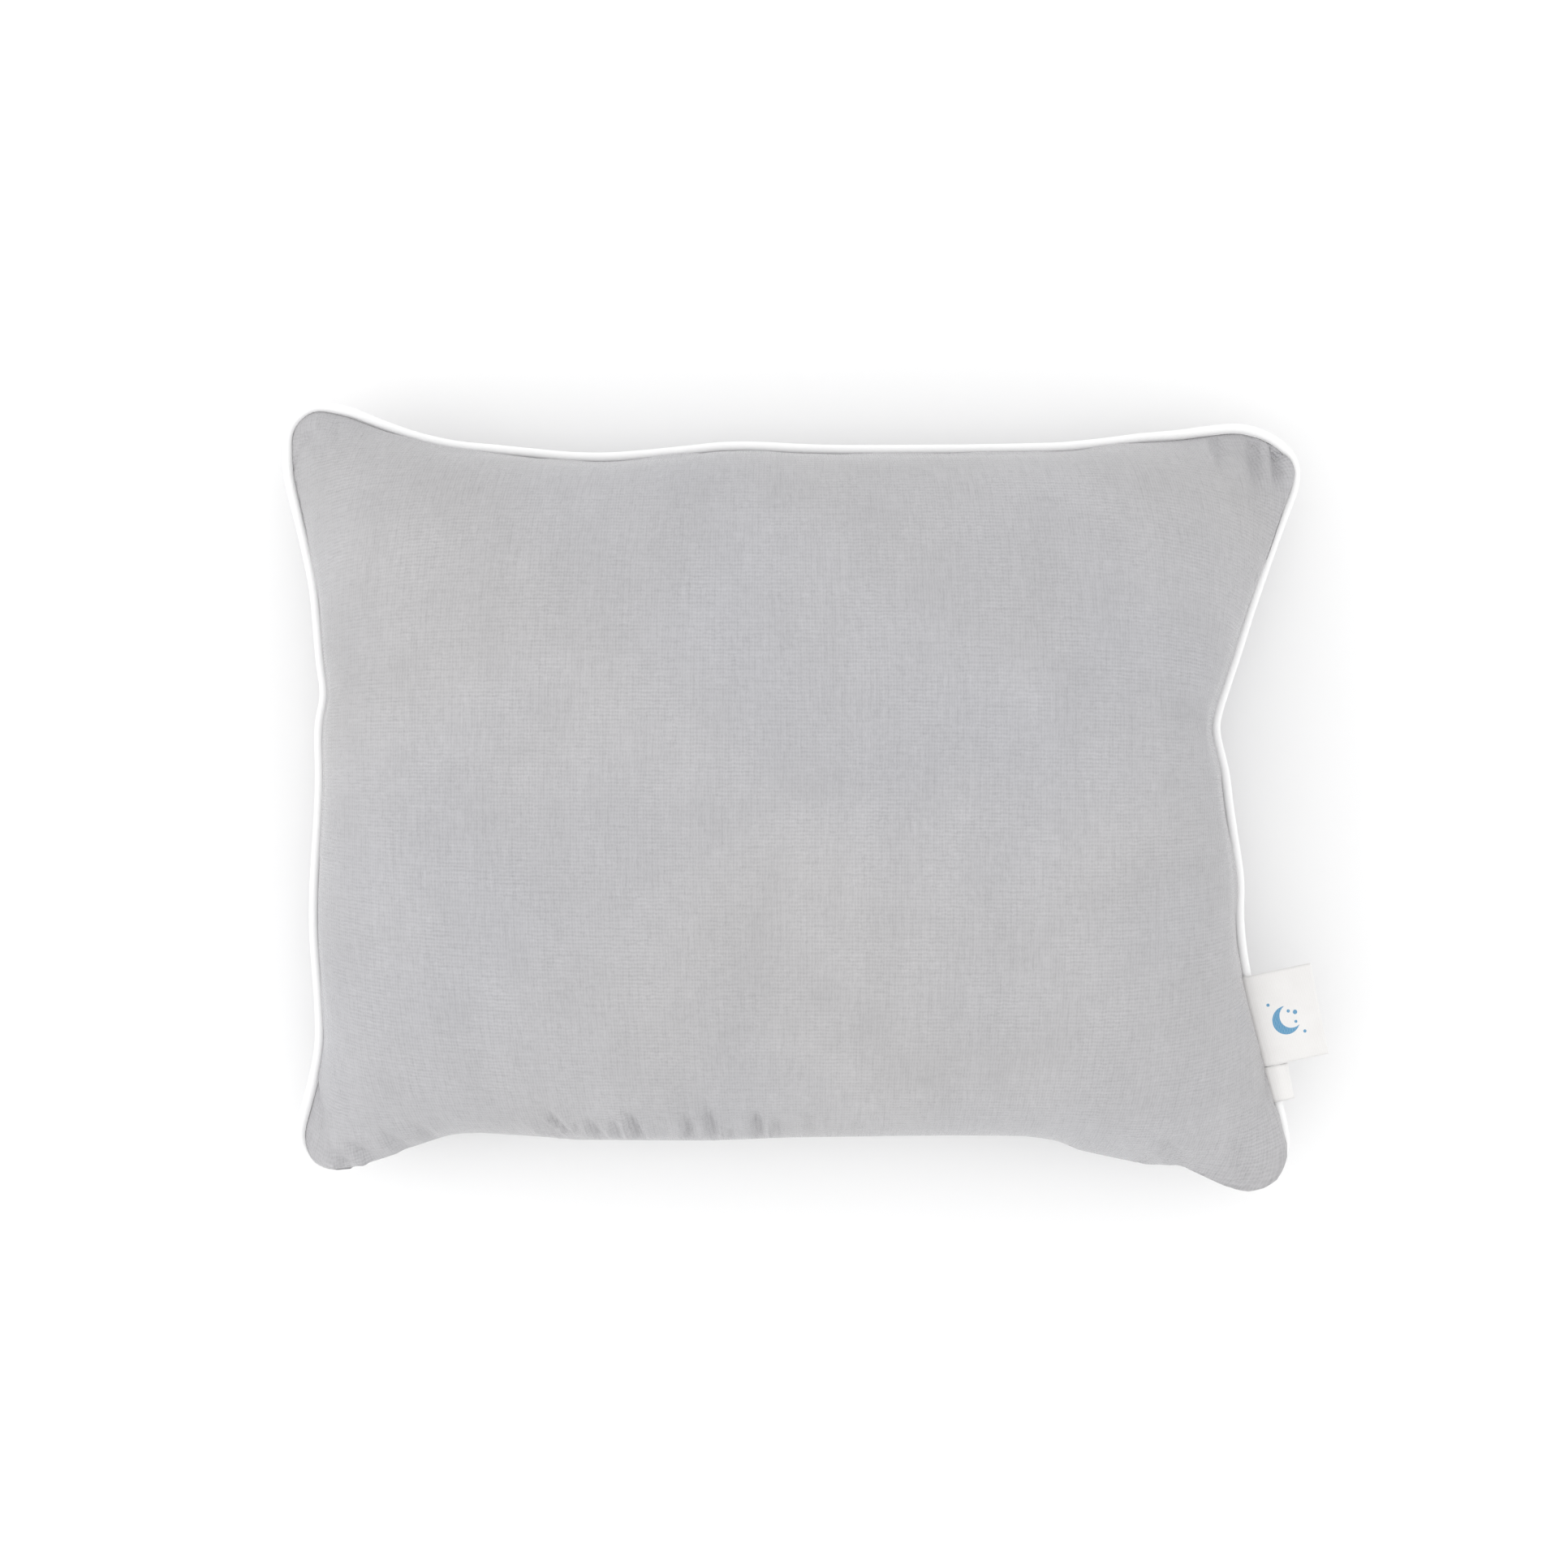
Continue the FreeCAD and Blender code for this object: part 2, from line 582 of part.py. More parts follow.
def zip_pull_tab():
    """The pull tab: a plate with a rounded end and a hole, forked round the slider's lug on a pin."""
    body = new_body("zip_pull_tab")
    at = dim("slider_x")
    pin_y = chain_y - dim("slider_out") - dim("pin_out")
    low, high = pin_y - dim("tab_thick") / 2, pin_y + dim("tab_thick") / 2
    far, near = at - dim("tab_long"), at + dim("tab_near")
    plate = new_sketch(body, "PlateOutline", height=chain_z)
    rectangle(plate, (far, low), (near, high))
    pad = extrude(body, "Pad", "Plate", plate, 2 * dim("tab_half"), middle=True)

    def end_edge(edge):
        """The plate's short edges across its thickness, at the far end."""
        return runs_along(edge, ACROSS) and edge.CenterOfMass.x < pad.Shape.CenterOfMass.x

    round_edges(body, "EndRounding", pad, end_edge, dim("tab_round"))
    fork = new_sketch(body, "ForkOutline", height=chain_z)
    spare = dim("overcut")
    rectangle(fork, (at - dim("fork_deep"), low - spare), (near + spare, high + spare))
    extrude(body, "Pocket", "Fork", fork, 2 * (dim("lug_half") + dim("fork_gap")), middle=True)
    pin = new_sketch(body, "PinSection", height=chain_z)
    circle(pin, at, pin_y, dim("pin_radius"))
    extrude(body, "Pad", "Pin", pin, 2 * (dim("tab_half") - dim("fork_gap")), middle=True)
    grip = new_sketch(body, "GripOutline", "XZ_Plane", height=-pin_y)
    circle(grip, far + dim("grip_from_end"), chain_z, dim("grip_hole"))
    extrude(body, "Pocket", "Grip", grip, 2 * dim("tab_thick"), middle=True)


def zip_stitching():
    """The row of stitches that holds the lower tape, on the back panel's outer face."""
    count = int(2 * DIMENSIONS["stitch_run"] / DIMENSIONS["stitch_pitch"])
    corner_y = wall_y - dim("stitch_deep") - dim("layer_gap")
    spans = []
    for i in range(count):
        corner_x = dim("stitch_pitch") * (i - count / 2)
        corner = (corner_x, corner_y, dim("stitch_height") - dim("stitch_half"))
        spans.append((corner, (dim("stitch_long"), dim("stitch_deep"), 2 * dim("stitch_half"))))
    blocks("zip_stitching", spans)


# ---------------------------------------------------------------- labels


def labels():
    """The two labels: folded ribbon that lies in the seam, climbs over the piping and reaches out."""
    for name in ("brand", "care"):
        body = new_body(f"{name}_label")
        section = new_sketch(body, "Section", "XZ_Plane")
        thick, crest, root = dim("label_thick"), dim("label_crest"), -dim("label_root")
        reach = dim(f"{name}_reach")
        bottom = cloth / 2 + dim("layer_gap")
        top = dim("piping_radius") + 2 * dim("layer_gap")
        tip = top - dim(f"{name}_fall")
        foot, ledge = -dim("climb_from"), -dim("climb_to")
        under = [(root, bottom), (foot, bottom), (ledge, top), (crest, top), (reach, tip)]
        upper_foot, upper_ledge = foot - dim("label_mitre"), ledge - dim("label_mitre")
        over = [(reach, tip + thick), (crest, top + thick), (upper_ledge, top + thick)]
        polygon(section, under + over + [(upper_foot, bottom + thick), (root, bottom + thick)])
        extrude(body, "Pad", "Ribbon", section, dim(f"{name}_wide"), middle=True)
        bind(body, "Placement.Base.x", dim(f"{name}_x"))
        bind(body, "Placement.Base.y", dim(f"{name}_y"))
        bind(body, "Placement.Base.z", seam_z)
        bind(body, "Placement.Rotation.Angle", dim("label_turn"))
        doc.recompute()


front_panel()
back_panel()
piping()
threads()
inner_case()
filling()
zip_tapes()
zip_coils()
zip_end_stops()
zip_slider()
zip_pull_tab()
zip_stitching()
labels()
doc.recompute()

for thing in doc.Objects:
    if {"Invalid", "Error"} & set(thing.State):
        raise RuntimeError(f"{thing.Label} failed: {thing.State}")
os.makedirs("parts", exist_ok=True)
for part in parts:
    shape = part.Shape
    if shape.isNull() or not shape.isValid() or not shape.Solids:
        raise RuntimeError(f"{part.Label} has no valid solid")
    shape.exportStep(f"parts/{part.Label}.step")
    box = shape.optimalBoundingBox(False, False)
    spans = [f"{low:.1f} to {high:.1f}" for low, high in
             ((box.XMin, box.XMax), (box.YMin, box.YMax), (box.ZMin, box.ZMax))]
    print(f"{part.Label}: {len(shape.Solids)} solids, {shape.Volume:.0f} mm3, {', '.join(spans)}")
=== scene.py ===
import math

import bpy
import numpy as np
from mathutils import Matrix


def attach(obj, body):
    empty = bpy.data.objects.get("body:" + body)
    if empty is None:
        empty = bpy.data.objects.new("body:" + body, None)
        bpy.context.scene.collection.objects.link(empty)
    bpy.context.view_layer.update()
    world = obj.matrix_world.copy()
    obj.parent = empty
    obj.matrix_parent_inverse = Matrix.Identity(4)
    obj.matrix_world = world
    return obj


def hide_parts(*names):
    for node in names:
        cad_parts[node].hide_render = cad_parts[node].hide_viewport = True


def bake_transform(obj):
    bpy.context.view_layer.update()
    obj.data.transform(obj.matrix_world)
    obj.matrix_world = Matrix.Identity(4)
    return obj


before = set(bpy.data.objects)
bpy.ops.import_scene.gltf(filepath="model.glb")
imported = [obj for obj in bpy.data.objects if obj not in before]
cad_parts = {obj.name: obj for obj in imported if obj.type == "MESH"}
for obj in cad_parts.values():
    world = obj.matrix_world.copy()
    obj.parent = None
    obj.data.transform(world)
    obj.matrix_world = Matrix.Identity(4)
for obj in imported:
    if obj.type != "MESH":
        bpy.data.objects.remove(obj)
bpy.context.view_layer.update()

# A piped bed pillow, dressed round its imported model. The cover's two panels are flat patterns, pinned along
# the seam and blown up by a small cloth solver. Every other soft piece follows the seam or the panels.
# Lengths are in millimetres, in the model's own frame, until a mesh or a light is made, which is in metres.

MM = 0.001

SEAM_Z = 38.0  # the seam's height over the floor
PIPING_R = 2.0
SEAM_GAP = 2.1  # from the seam to the piping's middle
ALLOWANCE = 10.0
CLOTH = 0.8
LAYER = 0.45  # from the seam's middle plane to a panel's face
RING_STEP = 0.5


def smoothstep(low, high, value):
    """0 below low, 1 above high, and smooth in between."""
    t = np.clip((value - low) / (high - low), 0, 1)
    return t * t * (3 - 2 * t)


def lengths(line):
    """How far along a line each of its points is."""
    return np.concatenate([[0], np.cumsum(np.linalg.norm(np.diff(line, axis=0), axis=1))])


# ---------------- the seam's path


def arc(cx, cy, r, start, end, count=7):
    """Points round part of a circle, angles in degrees, counterclockwise."""
    angles = np.radians(np.linspace(start, end, count))
    return [(cx + r * math.cos(a), cy + r * math.sin(a)) for a in angles]


def piping_path():
    """The piping's outer edge all the way round, counterclockwise from the middle of the zip's side."""
    zip_y = -139.1
    return np.array([
        (0, zip_y), (60, zip_y), (112, zip_y - 0.3), (121, -141.5), (134.7, -146.3), (148.4, -150.5),
        (155.0, -151.6), (162.0, -152.8), (168.0, -156.0), (175.8, -160.0),
        *arc(191.2, -146.5, 19.3, 262, 378, 9), (202.8, -113.0), (192.8, -72.0), (190.4, -52.0),
        (190.5, -36.0), (188.4, -20.0), (186.0, -4.4), (184.0, 11.3), (181.4, 22.0), (180.2, 29.0),
        (181.0, 34.0), (183.6, 42.4), (188.6, 57.2), (193.4, 72.3), (198.5, 87.4), (203.8, 102.3),
        (209.2, 117.4), (213.6, 130.0), (214.2, 138.0), (212.1, 144.3), (207.9, 149.0), (202.0, 153.0),
        (194.7, 156.0), (187.0, 157.1), (178.3, 156.5), (162.3, 154.3), (146.2, 152.9), (130.4, 150.8),
        (114.8, 149.2), (98.8, 148.7), (72.0, 148.3), (28.7, 148.1), (2.7, 148.6), (-13.3, 149.4),
        (-29.2, 149.4), (-45.1, 147.8), (-61.0, 146.2), (-77.0, 145.0), (-93.0, 145.2), (-109.3, 146.7),
        (-125.3, 148.2), (-141.3, 149.8), (-156.9, 153.2), (-172.0, 158.4), (-187.4, 164.3),
        *arc(-197.7, 149.4, 17.2, 100, 188, 6), (-214.3, 136.2), (-210.7, 120.3), (-206.9, 104.6),
        (-203.7, 88.9), (-202.1, 72.9), (-200.8, 57.0), (-199.1, 42.5), (-200.9, 33.0), (-201.4, 24.9),
        (-201.0, 8.8), (-201.5, -7.2), (-202.5, -23.3), (-203.3, -39.2), (-203.4, -55.2), (-202.4, -71.2),
        (-201.2, -87.2), (-200.9, -103.3), (-203.7, -119.5), *arc(-192.2, -142.2, 17.2, 162, 284, 9),
        (-179.9, -156.5), (-166.2, -151.0), (-152.5, -146.2), (-138.9, -142.0), (-125.2, -139.7),
        (-112, zip_y), (-60, zip_y),
    ], float)


def closed_spline(points, step):
    """A closed centripetal Catmull-Rom curve through points, resampled evenly."""
    count = len(points)
    out = []
    for i in range(count):
        p = [points[(i + k - 1) % count] for k in range(4)]
        t = [0.0]
        for k in range(3):
            t.append(t[-1] + np.linalg.norm(p[k + 1] - p[k]) ** 0.5)
        for u in np.linspace(t[1], t[2], 24, endpoint=False):
            a = [(p[k] * (t[k + 1] - u) + p[k + 1] * (u - t[k])) / (t[k + 1] - t[k]) for k in range(3)]
            b = [(a[k] * (t[k + 2] - u) + a[k + 1] * (u - t[k])) / (t[k + 2] - t[k]) for k in range(2)]
            out.append((b[0] * (t[2] - u) + b[1] * (u - t[1])) / (t[2] - t[1]))
    return evenly(np.array(out), step)


def evenly(line, step):
    """A closed line resampled at even steps."""
    ring = np.vstack([line, line[:1]])
    along = lengths(ring)
    count = int(round(along[-1] / step))
    at = np.linspace(0, along[-1], count, endpoint=False)
    return np.stack([np.interp(at, along, ring[:, k]) for k in range(ring.shape[1])], axis=1)


def smooth_ring(values, width):
    """A closed row of values, smoothed by a Gaussian of that width in samples."""
    count = len(values)
    k = np.arange(count)
    k = np.minimum(k, count - k)
    kernel = np.exp(-0.5 * (k / width) ** 2)
    spectrum = np.fft.fft(kernel / kernel.sum())
    if values.ndim > 1:
        spectrum = spectrum[:, None]
    return np.real(np.fft.ifft(np.fft.fft(values, axis=0) * spectrum, axis=0))


def outward(ring):
    """Unit normals to a closed counterclockwise ring, pointing outwards."""
    tangent = np.roll(ring, -1, axis=0) - np.roll(ring, 1, axis=0)
    tangent /= np.linalg.norm(tangent, axis=1)[:, None]
    return np.stack([tangent[:, 1], -tangent[:, 0]], axis=1)


RING = smooth_ring(closed_spline(piping_path(), RING_STEP), 4)
RING = evenly(RING - PIPING_R * outward(RING), RING_STEP)
RING_OUT = outward(RING)


def tuck_weight():
    """Where the panel rolls over the seam and hides the piping: 1 along the zip's side, 0 elsewhere."""
    weight = smoothstep(-192, -178, RING[:, 0]) * smoothstep(0.28, 0.6, -RING_OUT[:, 1])
    return smooth_ring(weight, 20)


TUCK = tuck_weight()
EAR_TUCK = 3.0  # how much further in the seam runs below a rolled ear
RING = RING - RING_OUT * (SEAM_GAP + EAR_TUCK * TUCK * smoothstep(116, 150, np.abs(RING[:, 0])))[:, None]
RING_Z = SEAM_Z + 0.9 * np.sin(np.linspace(0, 10 * math.pi, len(RING), endpoint=False) + 0.7) * (1 - TUCK)


def ring_at(values, index):
    """A closed row's values at fractional places."""
    count = len(values)
    low = np.floor(index).astype(int)
    f = (index - low).reshape((-1,) + (1,) * (values.ndim - 1))
    return values[low % count] * (1 - f) + values[(low + 1) % count] * f


# ---------------- flat patterns and the seam's grid edge

PATTERN = (442.0, 344.0, 17.0)  # width, height and corner radius between the seams
CELLS = (240, 176)  # the finest grid; both divide by 8


def pattern_boundary(count_x, count_y):
    """The flat panel's edge: four rows of points, each from the middle of one corner's arc to the next."""
    w, h, r = PATTERN[0] / 2, PATTERN[1] / 2, PATTERN[2]
    corners = [(w - r, r - h, 315), (w - r, h - r, 45), (r - w, h - r, 135), (r - w, r - h, 225)]
    sides = []
    for k in range(4):
        ax, ay, start = corners[(k - 1) % 4]
        bx, by, _ = corners[k]
        line = np.array(arc(ax, ay, r, start, start + 45, 60) + arc(bx, by, r, start + 45, start + 90, 60))
        along = lengths(line)
        at = np.linspace(0, along[-1], (count_x if k % 2 == 0 else count_y) + 1)
        sides.append(np.stack([np.interp(at, along, line[:, c]) for c in range(2)], axis=1))
    return sides


def coons(sides):
    """A grid of points inside four sides, as [x index, y index]."""
    south, east, north, west = sides[0], sides[1], sides[2][::-1], sides[3][::-1]
    u = np.linspace(0, 1, len(south))[:, None, None]
    v = np.linspace(0, 1, len(east))[None, :, None]
    grid = (1 - v) * south[:, None] + v * north[:, None] + (1 - u) * west[None] + u * east[None]
    low = (1 - u) * (1 - v) * south[0] + u * (1 - v) * south[-1]
    return grid - (low + (1 - u) * v * north[0] + u * v * north[-1])


def relax_flat(grid, rounds):
    """Evens out a flat grid, with its edge held."""
    for _ in range(rounds):
        grid[1:-1, 1:-1] = (grid[2:, 1:-1] + grid[:-2, 1:-1] + grid[1:-1, 2:] + grid[1:-1, :-2]) / 4
    return grid


def seam_places(count_x, count_y):
    """Each edge point's place on the seam's ring: four rows, from one ear's tip to the next."""
    tips = [int(np.argmax(RING @ np.array(way, float))) for way in ((-1, -1), (1, -1), (1, 1), (-1, 1))]
    places = []
    for k in range(4):
        first, last = tips[k], tips[(k + 1) % 4]
        if last < first:
            last += len(RING)
        places.append(np.linspace(first, last, (count_x if k % 2 == 0 else count_y) + 1))
    return places


EASE = 0.5  # how far the seam draws the front's flat sides in towards the filled outline
EASE_BACK = 0.8
EASE_SCALE = 1.04
ROLL_CLOTH = 8.0  # extra cloth for the rolled edge


def flat_sides(places, count_x, count_y, up):
    """A panel's four flat sides, eased in along the seam as the filled cover pulls them."""
    ease = EASE if up else EASE_BACK
    even = smooth_ring(RING, 36)
    sides = []
    for side, place in zip(pattern_boundary(count_x, count_y), places):
        eased = side * (1 - ease) + ring_at(even, place) * EASE_SCALE * ease
        if up:
            eased = eased + ring_at(RING_OUT, place) * (ROLL_CLOTH * ring_at(TUCK, place))[:, None]
        sides.append(eased)
    return sides


SLOT_DROP = 9.4  # how far below the seam the back panel's edge runs beside the zip
SLOT_IN = 1.2


def slot_weight(x, y):
    """1 along the zip, where the back panel's edge leaves the seam, and 0 past its ends."""
    return (1 - smoothstep(106, 119, np.abs(x))) * (y < -100)


def edge_points(place, up):
    """The cover's edge at places on the ring."""
    flat = ring_at(RING, place)
    z = ring_at(RING_Z, place) + (LAYER if up else -LAYER)
    if up:
        return np.column_stack([flat, z])
    slot = slot_weight(flat[:, 0], flat[:, 1])
    return np.column_stack([flat[:, 0], flat[:, 1] + SLOT_IN * slot, z - SLOT_DROP * slot])


# ---------------- the cloth solver

STRETCH = 1.0  # stiffness against stretching
SQUEEZE = 0.5  # and against shortening, which makes gathers
SHEAR = 0.35
SHEAR_SQUEEZE = 0.2
BEND = 0.12
CROWN = 106.0
DRAG = 0.97
PUSH = 0.007


def upsample(grid):
    """A grid with twice the cells, smoothly filled in."""
    def double(a):
        padded = np.concatenate([2 * a[:1] - a[1:2], a, 2 * a[-1:] - a[-2:-1]])
        mid = (9 * (padded[1:-2] + padded[2:-1]) - (padded[:-3] + padded[3:])) / 16
        out = np.empty((2 * len(a) - 1,) + a.shape[1:], a.dtype)
        out[::2] = a
        out[1::2] = mid
        return out
    return np.swapaxes(double(np.swapaxes(double(grid), 0, 1)), 0, 1)


def vertex_normals(x):
    """Area vectors of a grid's vertices."""
    face = np.cross(x[1:, 1:] - x[:-1, :-1], x[:-1, 1:] - x[1:, :-1]) / 2
    n = np.zeros_like(x)
    n[:-1, :-1] += face
    n[1:, :-1] += face
    n[:-1, 1:] += face
    n[1:, 1:] += face
    return n / 4


def unit_normals(x, up):
    """Unit normals of a grid's vertices, pointing out of the pillow."""
    n = vertex_normals(x)
    n /= np.linalg.norm(n, axis=-1, keepdims=True) + 1e-12
    return n if up else -n


class Links:
    """Distance constraints between grid points a fixed offset apart, in batches that share no point."""

    def __init__(self, flat, di, dj, stretch, squeeze, free, scale):
        self.stretch, self.squeeze = stretch, squeeze
        self.batches = []
        n, m = flat.shape[:2]
        step = 2 * max(abs(di), abs(dj))
        for first in range(step):
            if di:
                rows = np.arange(first, n - di, step)[:, None]
                a = (rows, np.arange(max(0, -dj), m - max(0, dj))[None, :])
            else:
                a = (np.arange(0, n)[:, None], np.arange(first, m - dj, step)[None, :])
            b = (a[0] + di, a[1] + dj)
            rest = np.linalg.norm(flat[a] - flat[b], axis=-1) * (scale[a] + scale[b]) / 2
            share = 1 / np.maximum(free[a] + free[b], 1e-9)
            weights = [(free[k] * share * (free[k] > 0)).astype(np.float32)[..., None] for k in (a, b)]
            self.batches.append((a, b, rest.astype(np.float32), *weights))

    def apply(self, x):
        for a, b, rest, move_a, move_b in self.batches:
            pa, pb = x[a], x[b]
            d = pb - pa
            length = np.sqrt(np.einsum("ijk,ijk->ij", d, d)) + 1e-9
            c = (length - rest) / length
            c *= np.where(c > 0, self.stretch, self.squeeze)
            d *= c[..., None]
            x[a] = pa + d * move_a
            x[b] = pb - d * move_b


def extra_cloth(flat, up):
    """How much longer the cloth is than its pattern: a little fullness along the zip's side."""
    edge = PATTERN[1] / 2 + flat[..., 1]
    gather = np.exp(-((flat[..., 0] + 50) / 75) ** 4) * np.exp(-(edge / 26) ** 2)
    return 1 + (0.03 if up else 0.0) * gather


def fullness(flat):
    """How firmly the filling reaches each part of a panel: less in the ears."""
    corner = np.hypot(PATTERN[0] / 2 - np.abs(flat[..., 0]), PATTERN[1] / 2 - np.abs(flat[..., 1]))
    return 0.3 + 0.7 * smoothstep(12, 85, corner)


def fill_force(x, up):
    """The filling's push on the cloth: on top it fades as the crown rises, below it grows off the floor."""
    if up:
        return np.clip(1.0 - (np.clip(x[..., 2] - SEAM_Z, 0, 200) / (CROWN - SEAM_Z)) ** 2, 0, 1)
    return np.clip(x[..., 2] / 6.0 + 0.4, 0.4, 1)


# The rolled edge, from the seam out over the piping and up: how far out, and how far above the seam.
ROLL = np.array([(0, 0.45), (0.2, 1.3), (1.1, 2.2), (2.6, 2.6), (4.6, 3.0), (6.5, 4.3), (7.7, 6.6), (8.1, 9.4)])
ROLL_STRAIGHT = 2.6  # the roll's shape is the same up to here, and reaches further or less far beyond it
REACH_X = (-170, -128, -110, -90, -33, 0, 32, 66, 96, 112, 124, 150, 163, 175)
REACH = (5.6, 5.7, 7.2, 9.1, 9.2, 7.7, 7.2, 6.7, 7.2, 9.4, 11.3, 11.0, 8.6, 8.0)
MAP_CELL = 2.0
MAP_HALF = (240.0, 192.0)


def ring_map():
    """The ring place nearest to each cell of a plan."""
    xs = np.arange(-MAP_HALF[0], MAP_HALF[0] + 1, MAP_CELL)
    ys = np.arange(-MAP_HALF[1], MAP_HALF[1] + 1, MAP_CELL)
    coarse = RING[::3]
    nearest = np.empty((len(xs), len(ys)), int)
    for i, px in enumerate(xs):
        gap = (px - coarse[:, 0][None]) ** 2 + (ys[:, None] - coarse[:, 1][None]) ** 2
        nearest[i] = gap.argmin(axis=1) * 3
    return nearest


RING_MAP = ring_map()


def past_ring(points):
    """How far points lie outside the seam in plan, and the ring places they are nearest to."""
    i = np.clip(((points[:, 0] + MAP_HALF[0]) / MAP_CELL + 0.5).astype(int), 0, RING_MAP.shape[0] - 1)
    j = np.clip(((points[:, 1] + MAP_HALF[1]) / MAP_CELL + 0.5).astype(int), 0, RING_MAP.shape[1] - 1)
    place = RING_MAP[i, j]
    gap = points[:, :2] - RING[place]
    return gap[:, 0] * RING_OUT[place, 0] + gap[:, 1] * RING_OUT[place, 1], place


class SeamGuide:
    """Holds the cloth near the seam: rolled over it on the zip's side, and inside the piping elsewhere."""

    NEAR = 52.0
    LEAN = 0.17  # the cloth leans in by this much of its height over the seam

    def __init__(self, flat, edge_flat, edge_place, up):
        near = np.minimum(PATTERN[0] / 2 - np.abs(flat[..., 0]), PATTERN[1] / 2 - np.abs(flat[..., 1]))
        self.at = np.nonzero(near < self.NEAR)
        points = flat[self.at]
        best = np.empty(len(points), int)
        self.depth = np.empty(len(points))
        for start in range(0, len(points), 2000):
            part = points[start:start + 2000]
            gap = np.linalg.norm(part[:, None] - edge_flat[None], axis=-1)
            best[start:start + 2000] = gap.argmin(axis=1)
            self.depth[start:start + 2000] = gap.min(axis=1)
        place = edge_place[best]
        self.seam = np.column_stack([ring_at(RING, place), ring_at(RING_Z, place)])
        self.out = ring_at(RING_OUT, place)
        tuck = ring_at(TUCK, place) if up else np.zeros(len(points))
        reach = np.interp(self.seam[:, 0], REACH_X, REACH)
        along = lengths(ROLL)
        out, rise = [np.interp(self.depth, along, ROLL[:, k]) for k in range(2)]
        beyond = (reach - ROLL_STRAIGHT) / (ROLL[-1, 0] - ROLL_STRAIGHT)
        out = np.where(out > ROLL_STRAIGHT, ROLL_STRAIGHT + (out - ROLL_STRAIGHT) * beyond, out)
        self.target = np.column_stack([self.seam[:, :2] + self.out * out[:, None], self.seam[:, 2] + rise])
        self.pull = 0.5 * tuck * (self.depth < along[-1]) * (self.depth > 0)
        self.limits = np.full(len(RING), 0.1)
        if up:
            self.limits = TUCK * (np.interp(RING[:, 0], REACH_X, REACH) + 0.4) + 0.1

    def apply(self, x):
        p = x[self.at]
        p += (self.target - p) * self.pull[:, None]
        past, place = past_ring(p)
        lean = self.LEAN * np.maximum(np.abs(p[:, 2] - SEAM_Z) - 3, 0) * (1 - TUCK[place])
        over = np.maximum(past - self.limits[place] + lean, 0)
        p[:, :2] -= RING_OUT[place] * over[:, None]
        x[self.at] = p


def simulate_panel(up, rounds):
    """One panel of the cover, blown up and stretched over the filling, from a coarse grid to the finest."""
    sign = 1.0 if up else -1.0
    rng = np.random.default_rng(7 if up else 11)
    x = None
    for level, count in enumerate(rounds):
        div = 2 ** (len(rounds) - 1 - level)
        nx, ny = CELLS[0] // div, CELLS[1] // div
        places = seam_places(nx, ny)
        boundary = flat_sides(places, nx, ny, up)
        flat = relax_flat(coons(boundary), 40)
        edge = coons([edge_points(place, up) for place in places])
        if x is None:
            u = np.linspace(-1, 1, nx + 1)[:, None]
            v = np.linspace(-1, 1, ny + 1)[None, :]
            x = edge.copy()
            rise = CROWN - SEAM_Z if up else -SEAM_Z
            x[..., 2] += (1 - u ** 4) ** 0.6 * (1 - np.abs(v) ** 3) ** 0.6 * rise
        else:
            x = upsample(x)
        free = np.ones((nx + 1, ny + 1))
        for side in (np.s_[0, :], np.s_[-1, :], np.s_[:, 0], np.s_[:, -1]):
            x[side] = edge[side]
            free[side] = 0
        x = x.astype(np.float32)
        guide = SeamGuide(flat, np.vstack(boundary), np.concatenate(places), up)
        spare = extra_cloth(flat, up)
        full = fullness(flat)
        cell = PATTERN[0] / nx
        links = [
            Links(flat, di, dj, stretch, squeeze, free, spare)
            for di, dj, stretch, squeeze in (
                (1, 0, STRETCH, SQUEEZE), (0, 1, STRETCH, SQUEEZE),
                (1, 1, SHEAR, SHEAR_SQUEEZE), (1, -1, SHEAR, SHEAR_SQUEEZE),
                (2, 0, 0.0, BEND), (0, 2, 0.0, BEND),
            )
        ]
        noise = relax_flat(rng.normal(size=x.shape[:2]), 3)
        x[..., 2] += (noise * free * 0.12 * cell).astype(np.float32)
        before = x.copy()
        mask = free.astype(np.float32)[..., None]
        for _ in range(count):
            n = vertex_normals(x)
            n *= sign / (cell * cell)
            moved = (x - before) * DRAG
            before = x.copy()
            x += (moved + n * (fill_force(x, up) * full)[..., None] * PUSH * cell) * mask
            for link in links:
                link.apply(x)
            guide.apply(x)
            if not up:
                np.maximum(x[..., 2], 0.3, out=x[..., 2])
    return x.astype(float), flat, guide, places


ROUNDS = ((500, 500, 400, 240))
FRONT, FLAT, FRONT_GUIDE, PLACES = simulate_panel(True, ROUNDS)
BACK, FLAT_BACK, BACK_GUIDE, _ = simulate_panel(False, ROUNDS)


# ---------------- folds too fine for the solver


def crease(start, end, depth, width):
    """Presses a fold into the front panel along a line in plan, deepest near its start."""
    a, b = np.array(start, float), np.array(end, float)
    length = np.linalg.norm(b - a)
    way = (b - a) / length
    rel = FRONT[..., :2] - a
    along = rel @ way / length
    across = rel @ np.array([-way[1], way[0]])
    fade = smoothstep(-0.45, 0.1, along) * (1 - smoothstep(0.35, 1.1, along))
    shape = np.exp(-(across / width) ** 2) - 0.5 * np.exp(-((np.abs(across) - 2.2 * width) / width) ** 2)
    normal = unit_normals(FRONT, True)
    push = depth * fade * shape * smoothstep(0.5, 5.0, SEAM_DEPTH) * smoothstep(0.1, 0.45, normal[..., 2])
    FRONT[...] -= normal * push[..., None]


